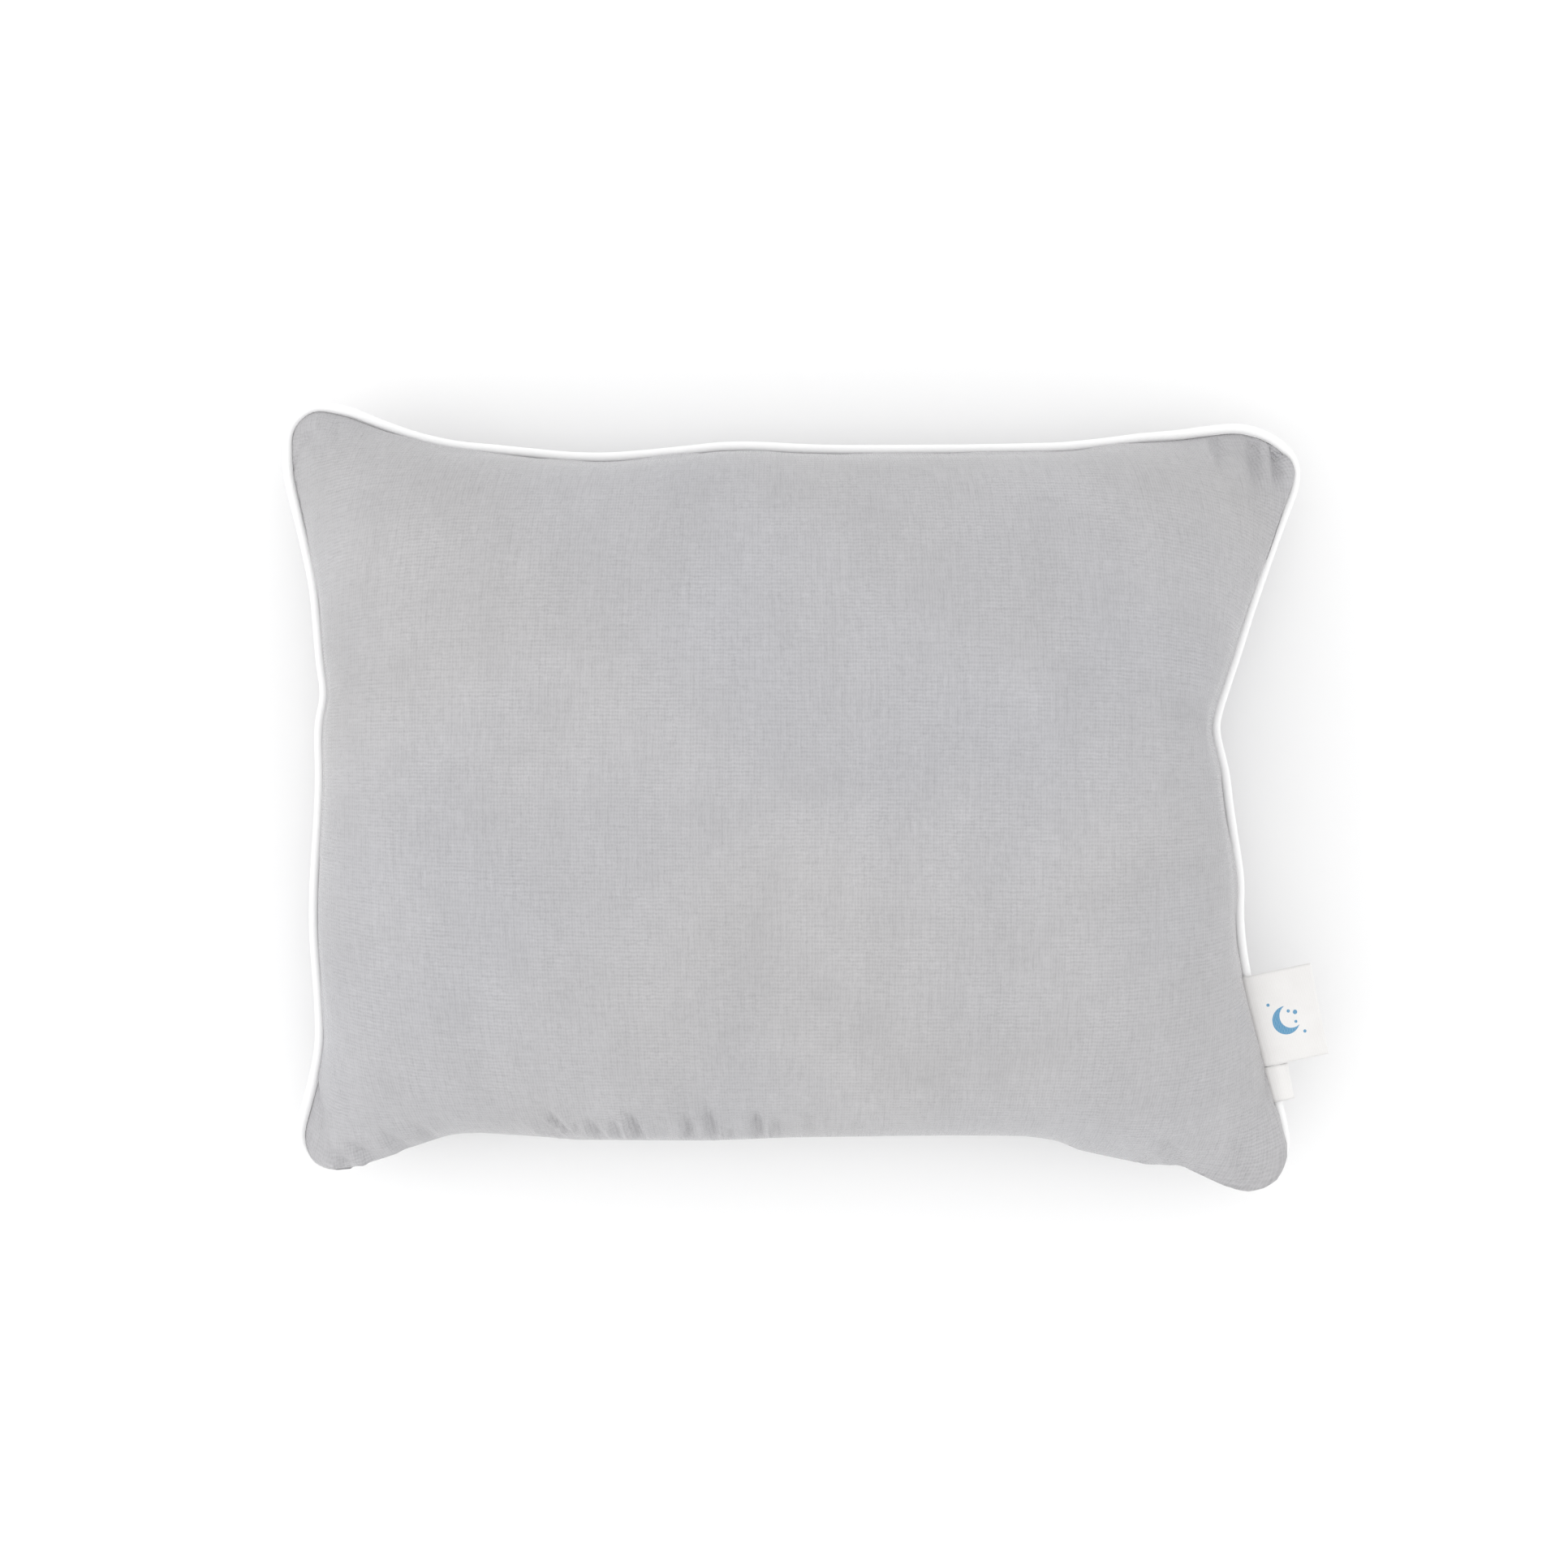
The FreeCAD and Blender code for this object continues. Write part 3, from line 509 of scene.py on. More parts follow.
def depth_grid(guide):
    """Each vertex's distance in from the seam, on the flat panel, up to the guide's reach."""
    depth = np.full(FRONT.shape[:2], SeamGuide.NEAR)
    depth[guide.at] = guide.depth
    return depth


SEAM_DEPTH = depth_grid(FRONT_GUIDE)

# Folds that show: the puckers by the zip's side, then the ears. Each is its start, end, depth and width.
PUCKERS = (
    (-97.8, -141, -109, -130, 2, 1.7), (-92, -141.5, -103.5, -127, 2.4, 1.8),
    (-86.5, -142, -92, -132, 1.3, 1.6), (-79, -142, -86, -131, 1.8, 1.7),
    (-71.5, -142, -75, -131, 1.5, 1.6), (-63, -142.5, -68.5, -128, 2.8, 1.8),
    (-52.5, -142, -54, -133, 1, 1.6), (-42.4, -142.5, -44, -128, 2.6, 1.8),
    (-31.5, -142, -36.5, -123, 2.2, 1.7), (-25, -142, -26, -136, 1.5, 1.7),
    (-13.2, -141, -16, -127, 2.8, 1.9), (-5.5, -141, -7, -132, 1.4, 1.7), (8, -139, 7, -127, 1.1, 1.9),
    (29, -140, 28, -131, 0.7, 1.8),
)
EAR_FOLDS = (
    (202.6, 147, 204.4, 126, 3.2, 2.4), (193.6, 151, 194.8, 118, 1.9, 2.4),
    (178, 151, 179.6, 132, 1.7, 2.2), (190.5, -158, 184, -140, 1, 2.4), (162, -150, 150, -139, 1.6, 2.4),
    (-176, -151, -190, -143, 1.6, 2.2), (-163, -146, -174, -138, 1.4, 2), (-150, -142, -159, -134, 1.4, 2),
    (-186, -154.5, -197, -147, 1.8, 2.2), (-205, 153, -190, 140, 0.9, 2.6),
    (-193, 158, -186, 140, 0.8, 2.4), (177, 27, 160, 30, 1.4, 3), (-195, 42, -176, 43, 1.1, 2.6),
    (-197, -20, -180, -22, 0.7, 2.6), (195, 92, 180, 88, 0.8, 2.6),
)
for fold in PUCKERS + EAR_FOLDS:
    crease(fold[:2], fold[2:4], *fold[4:])


def puff_edge():
    """Lets the cloth stand out unevenly over the piping, by up to a millimetre."""
    rng = np.random.default_rng(31)
    swell = smooth_ring(rng.normal(size=len(RING)), 14)
    x, y = RING.T
    by_labels = smoothstep(-134, -129, y) * (1 - smoothstep(-76, -70, y)) * (x > 150)
    swell = np.clip(swell / swell.std() * 0.35 + 0.55, 0.1, 1.3) * (1 - TUCK) * (1 - by_labels)
    p = FRONT[FRONT_GUIDE.at]
    _, place = past_ring(p)
    hump = np.exp(-((FRONT_GUIDE.depth - 5) / 3.2) ** 2)
    p[:, :2] += RING_OUT[place] * (hump * swell[place])[:, None]
    FRONT[FRONT_GUIDE.at] = p


puff_edge()


# ---------------- meshes


def add_object(name, data):
    """An object put into the scene."""
    obj = bpy.data.objects.new(name, data)
    bpy.context.scene.collection.objects.link(obj)
    return obj


def mesh_object(name, points, faces, uv=None, smooth=True):
    """An object from points in millimetres, with an optional UV map in metres for each point."""
    mesh = bpy.data.meshes.new(name)
    mesh.from_pydata((np.asarray(points, float) * MM).tolist(), [], [list(map(int, face)) for face in faces])
    if uv is not None:
        layer = mesh.uv_layers.new(name="Pattern")
        corners = np.empty(len(mesh.loops), int)
        mesh.loops.foreach_get("vertex_index", corners)
        layer.data.foreach_set("uv", (np.asarray(uv, float) * MM)[corners].astype(np.float32).ravel())
    mesh.update()
    if smooth:
        mesh.shade_smooth()
    return add_object(name, mesh)


def thicken(obj, thickness, offset=-1.0):
    """Gives a surface its thickness, and applies it."""
    modifier = obj.modifiers.new("Thickness", "SOLIDIFY")
    modifier.thickness = thickness * MM
    modifier.offset = offset
    bpy.context.view_layer.update()
    evaluated = obj.evaluated_get(bpy.context.evaluated_depsgraph_get())
    mesh = bpy.data.meshes.new_from_object(evaluated)
    obj.modifiers.clear()
    obj.data = mesh


def grid_faces(n, m, flip=False, wrap_n=False, wrap_m=False):
    """Quads of an n by m grid of points, which may close on itself either way."""
    index = np.arange(n * m).reshape(n, m)
    if wrap_n:
        index = np.vstack([index, index[:1]])
    if wrap_m:
        index = np.hstack([index, index[:, :1]])
    quads = np.stack([index[:-1, :-1], index[1:, :-1], index[1:, 1:], index[:-1, 1:]], axis=-1).reshape(-1, 4)
    return quads[:, ::-1] if flip else quads


def grid_uv(along, across):
    """Pattern places of a grid's points, in millimetres."""
    return np.stack(np.broadcast_arrays(along[:, None], across[None]), axis=-1).reshape(-1, 2)


def boundary_loop(n, m):
    """The indices round a grid's edge, counterclockwise from its first corner."""
    index = np.arange(n * m).reshape(n, m)
    return np.concatenate([index[:-1, 0], index[-1, :-1], index[:0:-1, -1], index[0, :0:-1]])


def finish_piece(obj, slot, node, material=None, body="pillow"):
    """Gives a piece its material, hides the model's part that it stands in for, and ties it to a body."""
    obj.data.materials.clear()
    obj.data.materials.append(material or LOOKS[slot])
    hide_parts(node)
    if body:
        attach(obj, body)


def frames_along(path, closed):
    """Two cross directions that turn as little as they can along a path."""
    if closed:
        tangent = np.roll(path, -1, axis=0) - np.roll(path, 1, axis=0)
    else:
        tangent = np.gradient(path, axis=0)
    tangent /= np.linalg.norm(tangent, axis=1)[:, None]
    side = np.empty_like(path)
    start = np.array([0.0, 0.0, 1.0]) if abs(tangent[0, 2]) < 0.9 else np.array([1.0, 0.0, 0.0])
    for i, t in enumerate(tangent):
        start = start - t * (start @ t)
        start /= np.linalg.norm(start)
        side[i] = start
    return side, np.cross(tangent, side)


def tube(path, radius, sides, closed=False, ends=0.0):
    """A tube along a path; its ends may taper over a share of its length."""
    side, other = frames_along(path, closed)
    count = len(path)
    along = lengths(path)
    share = along / along[-1]
    size = np.full(count, float(radius))
    if ends:
        size *= np.sqrt(np.clip(np.minimum(share, 1 - share) / ends, 0.02, 1))
    angle = np.linspace(0, 2 * math.pi, sides, endpoint=False)
    ring = np.cos(angle)[None, :, None] * side[:, None] + np.sin(angle)[None, :, None] * other[:, None]
    points = path[:, None] + ring * size[:, None, None]
    uv = grid_uv(along, angle * radius)
    faces = grid_faces(count, sides, flip=True, wrap_n=closed, wrap_m=True).tolist()
    if not closed:
        faces += [list(range(sides)), list(range(count * sides - 1, (count - 1) * sides - 1, -1))]
    return points.reshape(-1, 3), faces, uv


def tube_piece(name, slot, tubes):
    """A piece made of one tube or more."""
    points, faces, uv, base = [], [], [], 0
    for p, f, t in tubes:
        points.append(p)
        uv.append(t)
        faces += [[base + i for i in face] for face in f]
        base += len(p)
    finish_piece(mesh_object(name, np.vstack(points), faces, np.vstack(uv)), slot, name)


# ---------------- materials


class Look:
    """A material's node tree, with short ways to add to it."""

    def __init__(self, name, **shader):
        self.material = bpy.data.materials.new(name)
        self.material.use_nodes = True
        self.tree = self.material.node_tree
        self.shader = self.tree.nodes["Principled BSDF"]
        for key, value in shader.items():
            self.shader.inputs[key.replace("_", " ")].default_value = value

    def node(self, kind, inputs=None, **settings):
        made = self.tree.nodes.new(kind)
        for key, value in settings.items():
            setattr(made, key, value)
        for key, value in (inputs or {}).items():
            self.put(made.inputs[key], value)
        return made

    def put(self, socket, value):
        if isinstance(value, bpy.types.NodeSocket):
            self.tree.links.new(value, socket)
        else:
            socket.default_value = value

    def math(self, operation, a, b=0.0, c=0.0):
        return self.node("ShaderNodeMath", {0: a, 1: b, 2: c}, operation=operation).outputs[0]

    def place(self, scale=(1, 1, 1), turn=0.0, uv=True):
        """Pattern or object coordinates, in metres, turned and then scaled."""
        if uv:
            source = self.node("ShaderNodeUVMap", uv_map="Pattern").outputs[0]
        else:
            source = self.node("ShaderNodeTexCoord").outputs["Object"]
        inputs = {"Vector": source, "Scale": scale, "Rotation": (0, 0, turn)}
        return self.node("ShaderNodeMapping", inputs).outputs[0]

    def noise(self, place, scale, detail=2.0, rough=0.5):
        inputs = {"Vector": place, "Scale": scale, "Detail": detail, "Roughness": rough}
        return self.node("ShaderNodeTexNoise", inputs).outputs[0]

    def ribs(self, place, axis, pitch, wobble=2.0, detail_scale=1.5):
        """Threads side by side at a pitch in metres."""
        inputs = {"Vector": place, "Scale": 2 * math.pi / (20 * pitch), "Distortion": wobble}
        inputs.update({"Detail": 2.0, "Detail Scale": detail_scale})
        return self.node("ShaderNodeTexWave", inputs, bands_direction=axis).outputs["Fac"]

    def mix(self, factor, a, b, blend="MIX"):
        """Two colours mixed, or multiplied."""
        made = self.node("ShaderNodeMix", {0: factor, 6: a, 7: b}, data_type="RGBA", blend_type=blend)
        return made.outputs[2]

    def ramp(self, value, low, high):
        """0 below low, 1 above high, and even in between."""
        return self.node("ShaderNodeMapRange", {0: value, 1: low, 2: high}, clamp=True).outputs[0]

    def finish(self, colour, rough, height, distance, strength):
        """Sets the colour, the roughness and a bump of that distance in metres."""
        self.put(self.shader.inputs["Base Color"], colour)
        self.put(self.shader.inputs["Roughness"], rough)
        made = self.node("ShaderNodeBump", {"Height": height, "Distance": distance, "Strength": strength})
        self.put(self.shader.inputs["Normal"], made.outputs[0])
        return self.material


def grey(value, warm=0.0):
    """A colour of one lightness, a little warmer or cooler."""
    return (value * (1 + warm), value, value * (1 - warm), 1)


COVER_GREY = 0.415


def cover_look():
    """Crinkled cotton gauze: fine ribs across, uneven threads down, and faint cool and warm patches."""
    look = Look("cover_gauze", Roughness=0.9, Sheen_Weight=0.12, Sheen_Roughness=0.45, Specular_IOR_Level=0.25)
    place = look.place()
    ribs = look.ribs(place, "Y", 0.00145, 3.2, 1.6)
    threads = look.ribs(place, "X", 0.0011, 3.6, 1.5)
    down = look.noise(look.place((1, 0.09, 1)), 820, 3.0, 0.6)
    across = look.noise(look.place((0.12, 1, 1)), 700, 3.0, 0.6)
    crinkle = look.noise(place, 420, 4.0, 0.62)
    strength = look.noise(place, 45, 2.0, 0.5)
    clouds = look.noise(look.place((1, 1.4, 1)), 13, 4.0, 0.55)
    patches = look.noise(place, 6.0, 2.0, 0.5)
    streaks = look.noise(look.place((1, 0.12, 1)), 60, 3.0, 0.5)
    ribs = look.math("MULTIPLY", ribs, look.ramp(strength, 0.2, 0.75))
    weave = look.math("MULTIPLY_ADD", ribs, 0.42, look.math("MULTIPLY", threads, 0.24))
    weave = look.math("MULTIPLY_ADD", down, 0.6, weave)
    weave = look.math("MULTIPLY_ADD", across, 0.45, weave)
    weave = look.math("MULTIPLY_ADD", crinkle, 0.6, weave)
    tone = look.ramp(look.math("MULTIPLY_ADD", streaks, 0.3, weave), 0.6, 1.6)
    cloth = look.mix(tone, grey(COVER_GREY * 0.82), grey(COVER_GREY * 1.18))
    tint = look.mix(look.ramp(patches, 0.36, 0.64), (0.987, 0.984, 1.027, 1), (1.000, 0.986, 1.002, 1))
    shade = look.mix(look.ramp(clouds, 0.3, 0.7), (0.955, 0.955, 0.955, 1), (1.045, 1.045, 1.045, 1))
    cloth = look.mix(1.0, look.mix(1.0, cloth, tint, "MULTIPLY"), shade, "MULTIPLY")
    return look.finish(cloth, look.ramp(weave, 2.0, -1.0), weave, 0.0005, 0.9)


def woven_look(name, value, pitch, contrast, depth, turn=0.0):
    """A plain woven cloth or braid at a thread pitch in metres."""
    look = Look(name, Roughness=0.85, Sheen_Weight=0.1, Specular_IOR_Level=0.3)
    place = look.place(turn=turn)
    one = look.ribs(place, "X", pitch, 1.0)
    two = look.ribs(place, "Y", pitch, 1.0)
    fuzz = look.noise(place, 0.35 / pitch, 3.0)
    weave = look.math("MULTIPLY_ADD", look.math("MULTIPLY", one, two), 0.8, look.math("MULTIPLY", fuzz, 0.6))
    light_tone = grey(min(value * (1 + contrast), 0.98))
    cloth = look.mix(look.ramp(weave, 0.1, 0.9), grey(value * (1 - contrast)), light_tone)
    return look.finish(cloth, look.ramp(weave, 2.0, -1.5), weave, depth, 0.8)


def thread_look(name, value, pitch=0.0006):
    """Twisted sewing thread."""
    look = Look(name, Roughness=0.6, Sheen_Weight=0.15)
    twist = look.ribs(look.place(turn=math.radians(55)), "X", pitch, 0.4)
    fuzz = look.noise(look.place(), 2500, 3.0)
    ply = look.math("MULTIPLY_ADD", fuzz, 0.35, twist)
    thread = look.mix(look.ramp(ply, 0.0, 1.3), grey(value * 0.86), grey(value))
    return look.finish(thread, look.ramp(ply, 3.0, -1.0), ply, 0.00008, 0.7)


def fibre_look():
    """Loose white polyester fibre."""
    look = Look("fibre", Roughness=0.95, Sheen_Weight=0.4)
    place = look.place(uv=False)
    strands = look.noise(look.place((1, 0.15, 0.6), 0.6, uv=False), 900, 5.0, 0.7)
    clumps = look.noise(place, 70, 4.0, 0.6)
    height = look.math("MULTIPLY_ADD", strands, 0.4, clumps)
    fibre = look.mix(look.ramp(height, 0.4, 1.0), grey(0.72), grey(0.88))
    return look.finish(fibre, look.ramp(strands, -1.0, 1.2), height, 0.002, 0.8)


def coil_look():
    """Moulded monofilament."""
    look = Look("coil_nylon", Roughness=0.35, Specular_IOR_Level=0.5)
    place = look.place(uv=False)
    marks = look.noise(place, 1800, 3.0)
    nylon = look.mix(marks, grey(0.60), grey(0.72))
    return look.finish(nylon, look.ramp(marks, -0.4, 2.2), marks, 0.00004, 0.5)


def metal_look():
    """Tumbled zinc, with soft scratches and a duller tone where it is touched less."""
    look = Look("zip_zinc", Metallic=1.0, Roughness=0.34)
    place = look.place(uv=False)
    scratches = look.noise(look.place((0.15, 1, 1), 0.4, uv=False), 2600, 4.0, 0.7)
    tarnish = look.noise(place, 260, 3.0, 0.6)
    zinc = look.mix(tarnish, grey(0.56), grey(0.72, 0.01))
    rough = look.ramp(look.math("MULTIPLY_ADD", scratches, 0.5, tarnish), -0.6, 2.4)
    return look.finish(zinc, rough, scratches, 0.00003, 0.6)


def label_look(name, mark):
    """Printed satin ribbon; the wide label has a generic crescent and dots."""
    look = Look(name, Roughness=0.5, Sheen_Weight=0.1)
    place = look.place()
    satin = look.ribs(place, "Y", 0.0004, 0.6)
    across = look.ribs(place, "X", 0.0007, 0.8)
    cloud = look.noise(place, 120, 3.0)
    weave = look.math("MULTIPLY_ADD", satin, 0.6, look.math("MULTIPLY", across, 0.4))
    base = look.mix(look.ramp(look.math("ADD", weave, cloud), 0.2, 1.4), grey(0.73, 0.02), grey(0.82, 0.012))
    if mark:
        pattern = look.node("ShaderNodeUVMap", uv_map="Pattern").outputs[0]
        split = look.node("ShaderNodeSeparateXYZ", {0: pattern})

        def disc(x, y, radius):
            """1 inside a disc on the ribbon, in millimetres."""
            dx = look.math("SUBTRACT", split.outputs[0], x * MM)
            dy = look.math("SUBTRACT", split.outputs[1], y * MM)
            squares = look.math("MULTIPLY_ADD", dx, dx, look.math("MULTIPLY", dy, dy))
            edge = look.math("SUBTRACT", radius * MM, look.math("SQRT", squares))
            return look.ramp(edge, -0.00008, 0.00008)

        crescent = look.math("SUBTRACT", disc(16.4, -2.0, 6.0), disc(18.9, -0.6, 5.1))
        ink = look.math("MAXIMUM", crescent, 0.0)
        dots = ((20.8, 0.6, 0.95), (18.0, 1.6, 0.7), (20.4, -3.4, 0.65), (10.0, 5.8, 0.7), (23.4, -8.2, 0.7))
        for x, y, radius in dots:
            ink = look.math("MAXIMUM", ink, disc(x, y, radius))
        ink = look.math("MULTIPLY", ink, look.ramp(weave, -0.5, 0.6))
        base = look.mix(ink, base, (0.01, 0.24, 0.46, 1))
    return look.finish(base, look.ramp(weave, 3.0, -1.5), weave, 0.00006, 0.7)


LOOKS = {
    "cover_cloth": cover_look(),
    "piping_cloth": woven_look("piping_cotton", 0.93, 0.00055, 0.03, 0.00012, math.radians(45)),
    "piping_core": thread_look("piping_core", 0.8, 0.0016),
    "cover_thread": thread_look("cover_thread", 0.6),
    "case_cloth": woven_look("case_cambric", 0.82, 0.0005, 0.05, 0.0001),
    "case_thread": thread_look("case_thread", 0.8),
    "fibre_filling": fibre_look(),
    "zip_tape": woven_look("zip_tape", 0.66, 0.0007, 0.08, 0.00015, math.radians(45)),
    "zip_coil": coil_look(),
    "zip_metal": metal_look(),
}


# ---------------- cover and inner pillow

# The rows of a panel's turned-in edge: how far in from the seam, and beside the zip how far in and down.
TURNED_ROWS = ((1.2, 1.2, 0.1), (5.0, 1.9, 2.0), (ALLOWANCE, 1.9, 7.0))
CASE_CLOTH = 0.4
CASE_SEAM = 12.5  # the inner case's seam inside the cover's
CASE_BELOW = 2.4  # the inner case's face inside the cover's grid
CASE_LAYER = 0.35
FIBRE_SEAM = 13.6
FIBRE_BELOW = 3.4


def panel(name, grid, flat, up):
    """A panel of the cover, its allowance turned in along the seam and its hem turned down at the zip."""
    n, m = grid.shape[:2]
    loop = boundary_loop(n, m)
    place = np.concatenate([side[:-1] for side in PLACES])
    edge = grid.reshape(-1, 3)[loop]
    out = ring_at(RING_OUT, place)
    slot = np.zeros(len(loop)) if up else slot_weight(edge[:, 0], edge[:, 1])
    points, uv = [grid.reshape(-1, 3)], [flat.reshape(-1, 2)]
    faces = grid_faces(n, m, flip=not up).tolist()
    previous = loop
    flat_edge = flat.reshape(-1, 2)[loop]
    flat_out = outward(flat_edge)
    for depth, hem_in, hem_down in TURNED_ROWS:
        turned = edge.copy()
        turned[:, :2] -= out * (depth * (1 - slot) + hem_in * slot)[:, None]
        turned[:, 2] -= hem_down * slot
        base = sum(len(p) for p in points)
        points.append(turned)
        uv.append(flat_edge + flat_out * depth)
        current = np.arange(base, base + len(loop))
        a, b = previous, np.roll(previous, -1)
        c, d = np.roll(current, -1), current
        quads = np.stack([b, a, d, c] if up else [a, b, c, d], axis=1)
        faces += quads.tolist()
        previous = current
    obj = mesh_object(name, np.vstack(points), faces, np.vstack(uv))
    thicken(obj, CLOTH)
    finish_piece(obj, "cover_cloth", name)


def inner_surface(grid, guide, up, inset, below, middle_gap):
    """The cover's shape at half its detail, drawn inside it and pinched to a smaller seam."""
    inner = grid - unit_normals(grid, up) * below
    fade = smoothstep(0, 26, guide.depth)[:, None]
    z = np.full(len(guide.depth), SEAM_Z + (middle_gap if up else -middle_gap))
    seam = np.column_stack([guide.seam[:, :2] - guide.out * inset, z])
    inner[guide.at] = (1 - fade) * seam + fade * inner[guide.at]
    return inner[::2, ::2]


def inner_case(name, grid, flat, guide, up):
    """Half of the inner case."""
    inner = inner_surface(grid, guide, up, CASE_SEAM, CASE_BELOW, CASE_LAYER)
    n, m = inner.shape[:2]
    faces = grid_faces(n, m, flip=not up)
    obj = mesh_object(name, inner.reshape(-1, 3), faces, flat[::2, ::2].reshape(-1, 2))
    thicken(obj, CASE_CLOTH)
    finish_piece(obj, "case_cloth", name)


def filling():
    """The fibre, one soft body."""
    upper = inner_surface(FRONT, FRONT_GUIDE, True, FIBRE_SEAM, FIBRE_BELOW, 0.0)
    lower = inner_surface(BACK, BACK_GUIDE, False, FIBRE_SEAM, FIBRE_BELOW, 0.0)
    n, m = upper.shape[:2]
    rng = np.random.default_rng(5)
    for surface, sign in ((upper, -1), (lower, 1)):
        lumps = relax_flat(rng.normal(size=(n, m)), 5)
        lumps[0] = lumps[-1] = lumps[:, 0] = lumps[:, -1] = 0
        surface[..., 2] += sign * np.clip(np.abs(lumps) * 1.4, 0, 0.9)
    loop = boundary_loop(n, m)
    lookup = np.arange(n * m) + n * m
    lookup[loop] = loop
    faces = grid_faces(n, m).tolist() + lookup[grid_faces(n, m, flip=True)].tolist()
    points = np.vstack([upper.reshape(-1, 3), lower.reshape(-1, 3)])
    used = np.unique(np.array(faces))
    renumber = np.zeros(len(points), int)
    renumber[used] = np.arange(len(used))
    obj = mesh_object("filling", points[used], renumber[np.array(faces)])
    finish_piece(obj, "fibre_filling", "filling")


# ---------------- piping and threads

PIPING_DROP = 0.4  # how far the piping hangs below the seam's plane where the panel rolls over it
CORD_R = 1.5
STITCH = 2.5  # one stitch of the cover's seam
STITCH_INSET = 4.2  # its row, inside the seam
THREAD_R = 0.2
OVERLOCK = 3.0  # one turn of the inner case's overlock thread
OVERLOCK_INSET = 11.9


def piping():
    """The piping strip, wrapped round its cord with both edges running into the seam."""
    step = 3
    middle = np.column_stack([RING + RING_OUT * SEAM_GAP, RING_Z - PIPING_DROP * TUCK])[::step]
    out = np.column_stack([RING_OUT[::step], np.zeros(len(middle))])
    seam = np.column_stack([RING, RING_Z])[::step]
    up = np.array([0.0, 0.0, 1.0])
    rng = np.random.default_rng(3)
    plump = 1.07 + 0.06 * smooth_ring(rng.normal(size=len(middle)), 4)[:, None]
    profile, around = [], []
    for angle in np.radians(np.linspace(-163, 163, 17)):
        profile.append(middle + (out * math.cos(angle) + up * math.sin(angle)) * PIPING_R * plump)
        around.append(angle * PIPING_R)
    depths = (0.9, 5.0, ALLOWANCE)
    for depth, height in [(depth, 0.28) for depth in depths] + [(depth, -0.28) for depth in depths[::-1]]:
        profile.append(seam - out * depth + up * height)
        around.append(around[-1] + 4)
    along = np.arange(len(middle)) * RING_STEP * step
    uv = grid_uv(along, np.array(around))
    count = len(profile)
    faces = grid_faces(len(middle), count, wrap_n=True, wrap_m=True)
    obj = mesh_object("piping_cover", np.stack(profile, axis=1).reshape(-1, 3), faces, uv)
    finish_piece(obj, "piping_cloth", "piping_cover")
    tube_piece("piping_cord", "piping_core", [tube(middle, CORD_R, 10, closed=True)])


def seam_threads():
    """The lockstitch threads of the cover's seam and the overlock thread of the inner case."""
    step = 2
    along = np.arange(len(RING))[::step] * RING_STEP
    dip = 0.18 * np.cos(2 * math.pi * along / STITCH)
    line = RING[::step] - RING_OUT[::step] * STITCH_INSET
    for name, sign in (("seam_needle_thread", 1), ("seam_bobbin_thread", -1)):
        height = RING_Z[::step] + sign * (LAYER + CLOTH + 0.3 + dip)
        tube_piece(name, "cover_thread", [tube(np.column_stack([line, height]), THREAD_R, 6, closed=True)])

    along = np.arange(len(RING)) * RING_STEP
    turns = round(along[-1] / OVERLOCK)
    angle = 2 * math.pi * turns * np.arange(len(RING)) / len(RING)
    line = RING - RING_OUT * (OVERLOCK_INSET + 0.9 * np.cos(angle))[:, None]
    path = np.column_stack([line, SEAM_Z + 0.55 * np.sin(angle)])
    tube_piece("inner_case_thread", "case_thread", [tube(path, 0.15, 5, closed=True)])


# ---------------- zip

CHAIN_Y = -136.5
CHAIN_Z = 32.2
CHAIN_HALF = 104.0
TAPE_HALF = 110.0
TAPE = 0.4


def zip_tape(name, profile):
    """A woven tape: a bent profile of (y, z) points carried along X, with its thickness."""
    profile = np.array(profile, float)
    xs = np.linspace(-TAPE_HALF, TAPE_HALF, int(TAPE_HALF) + 1)
    points = np.zeros((len(xs), len(profile), 3))
    points[..., 0] = xs[:, None]
    points[..., 1:] = profile
    across = lengths(profile)
    obj = mesh_object(name, points.reshape(-1, 3), grid_faces(len(xs), len(profile)), grid_uv(xs, across))
    thicken(obj, TAPE, 0.0)
    finish_piece(obj, "zip_tape", name)


def zip_tapes():
    """The two tapes, from the chain up to the seam and down behind the hem."""
    near = CHAIN_Y + 1.0
    upper = [(near, CHAIN_Z + 0.4), (-133.1, CHAIN_Z + 0.5), (-132.2, CHAIN_Z + 1.4), (-131.7, 35.2)]
    upper += [(-131.2, 36.4), (-130.2, 36.95), (-127.4, 37.05), (-124.6, 37.05)]
    zip_tape("zip_tape_upper", upper)
    lower = [(near, CHAIN_Z - 0.4), (-133.1, CHAIN_Z - 0.5), (-132.1, CHAIN_Z - 1.2), (-131.2, 29.8)]
    lower += [(-130.9, 28.6), (-130.9, 25.4), (-130.9, 22.3)]
    zip_tape("zip_tape_lower", lower)


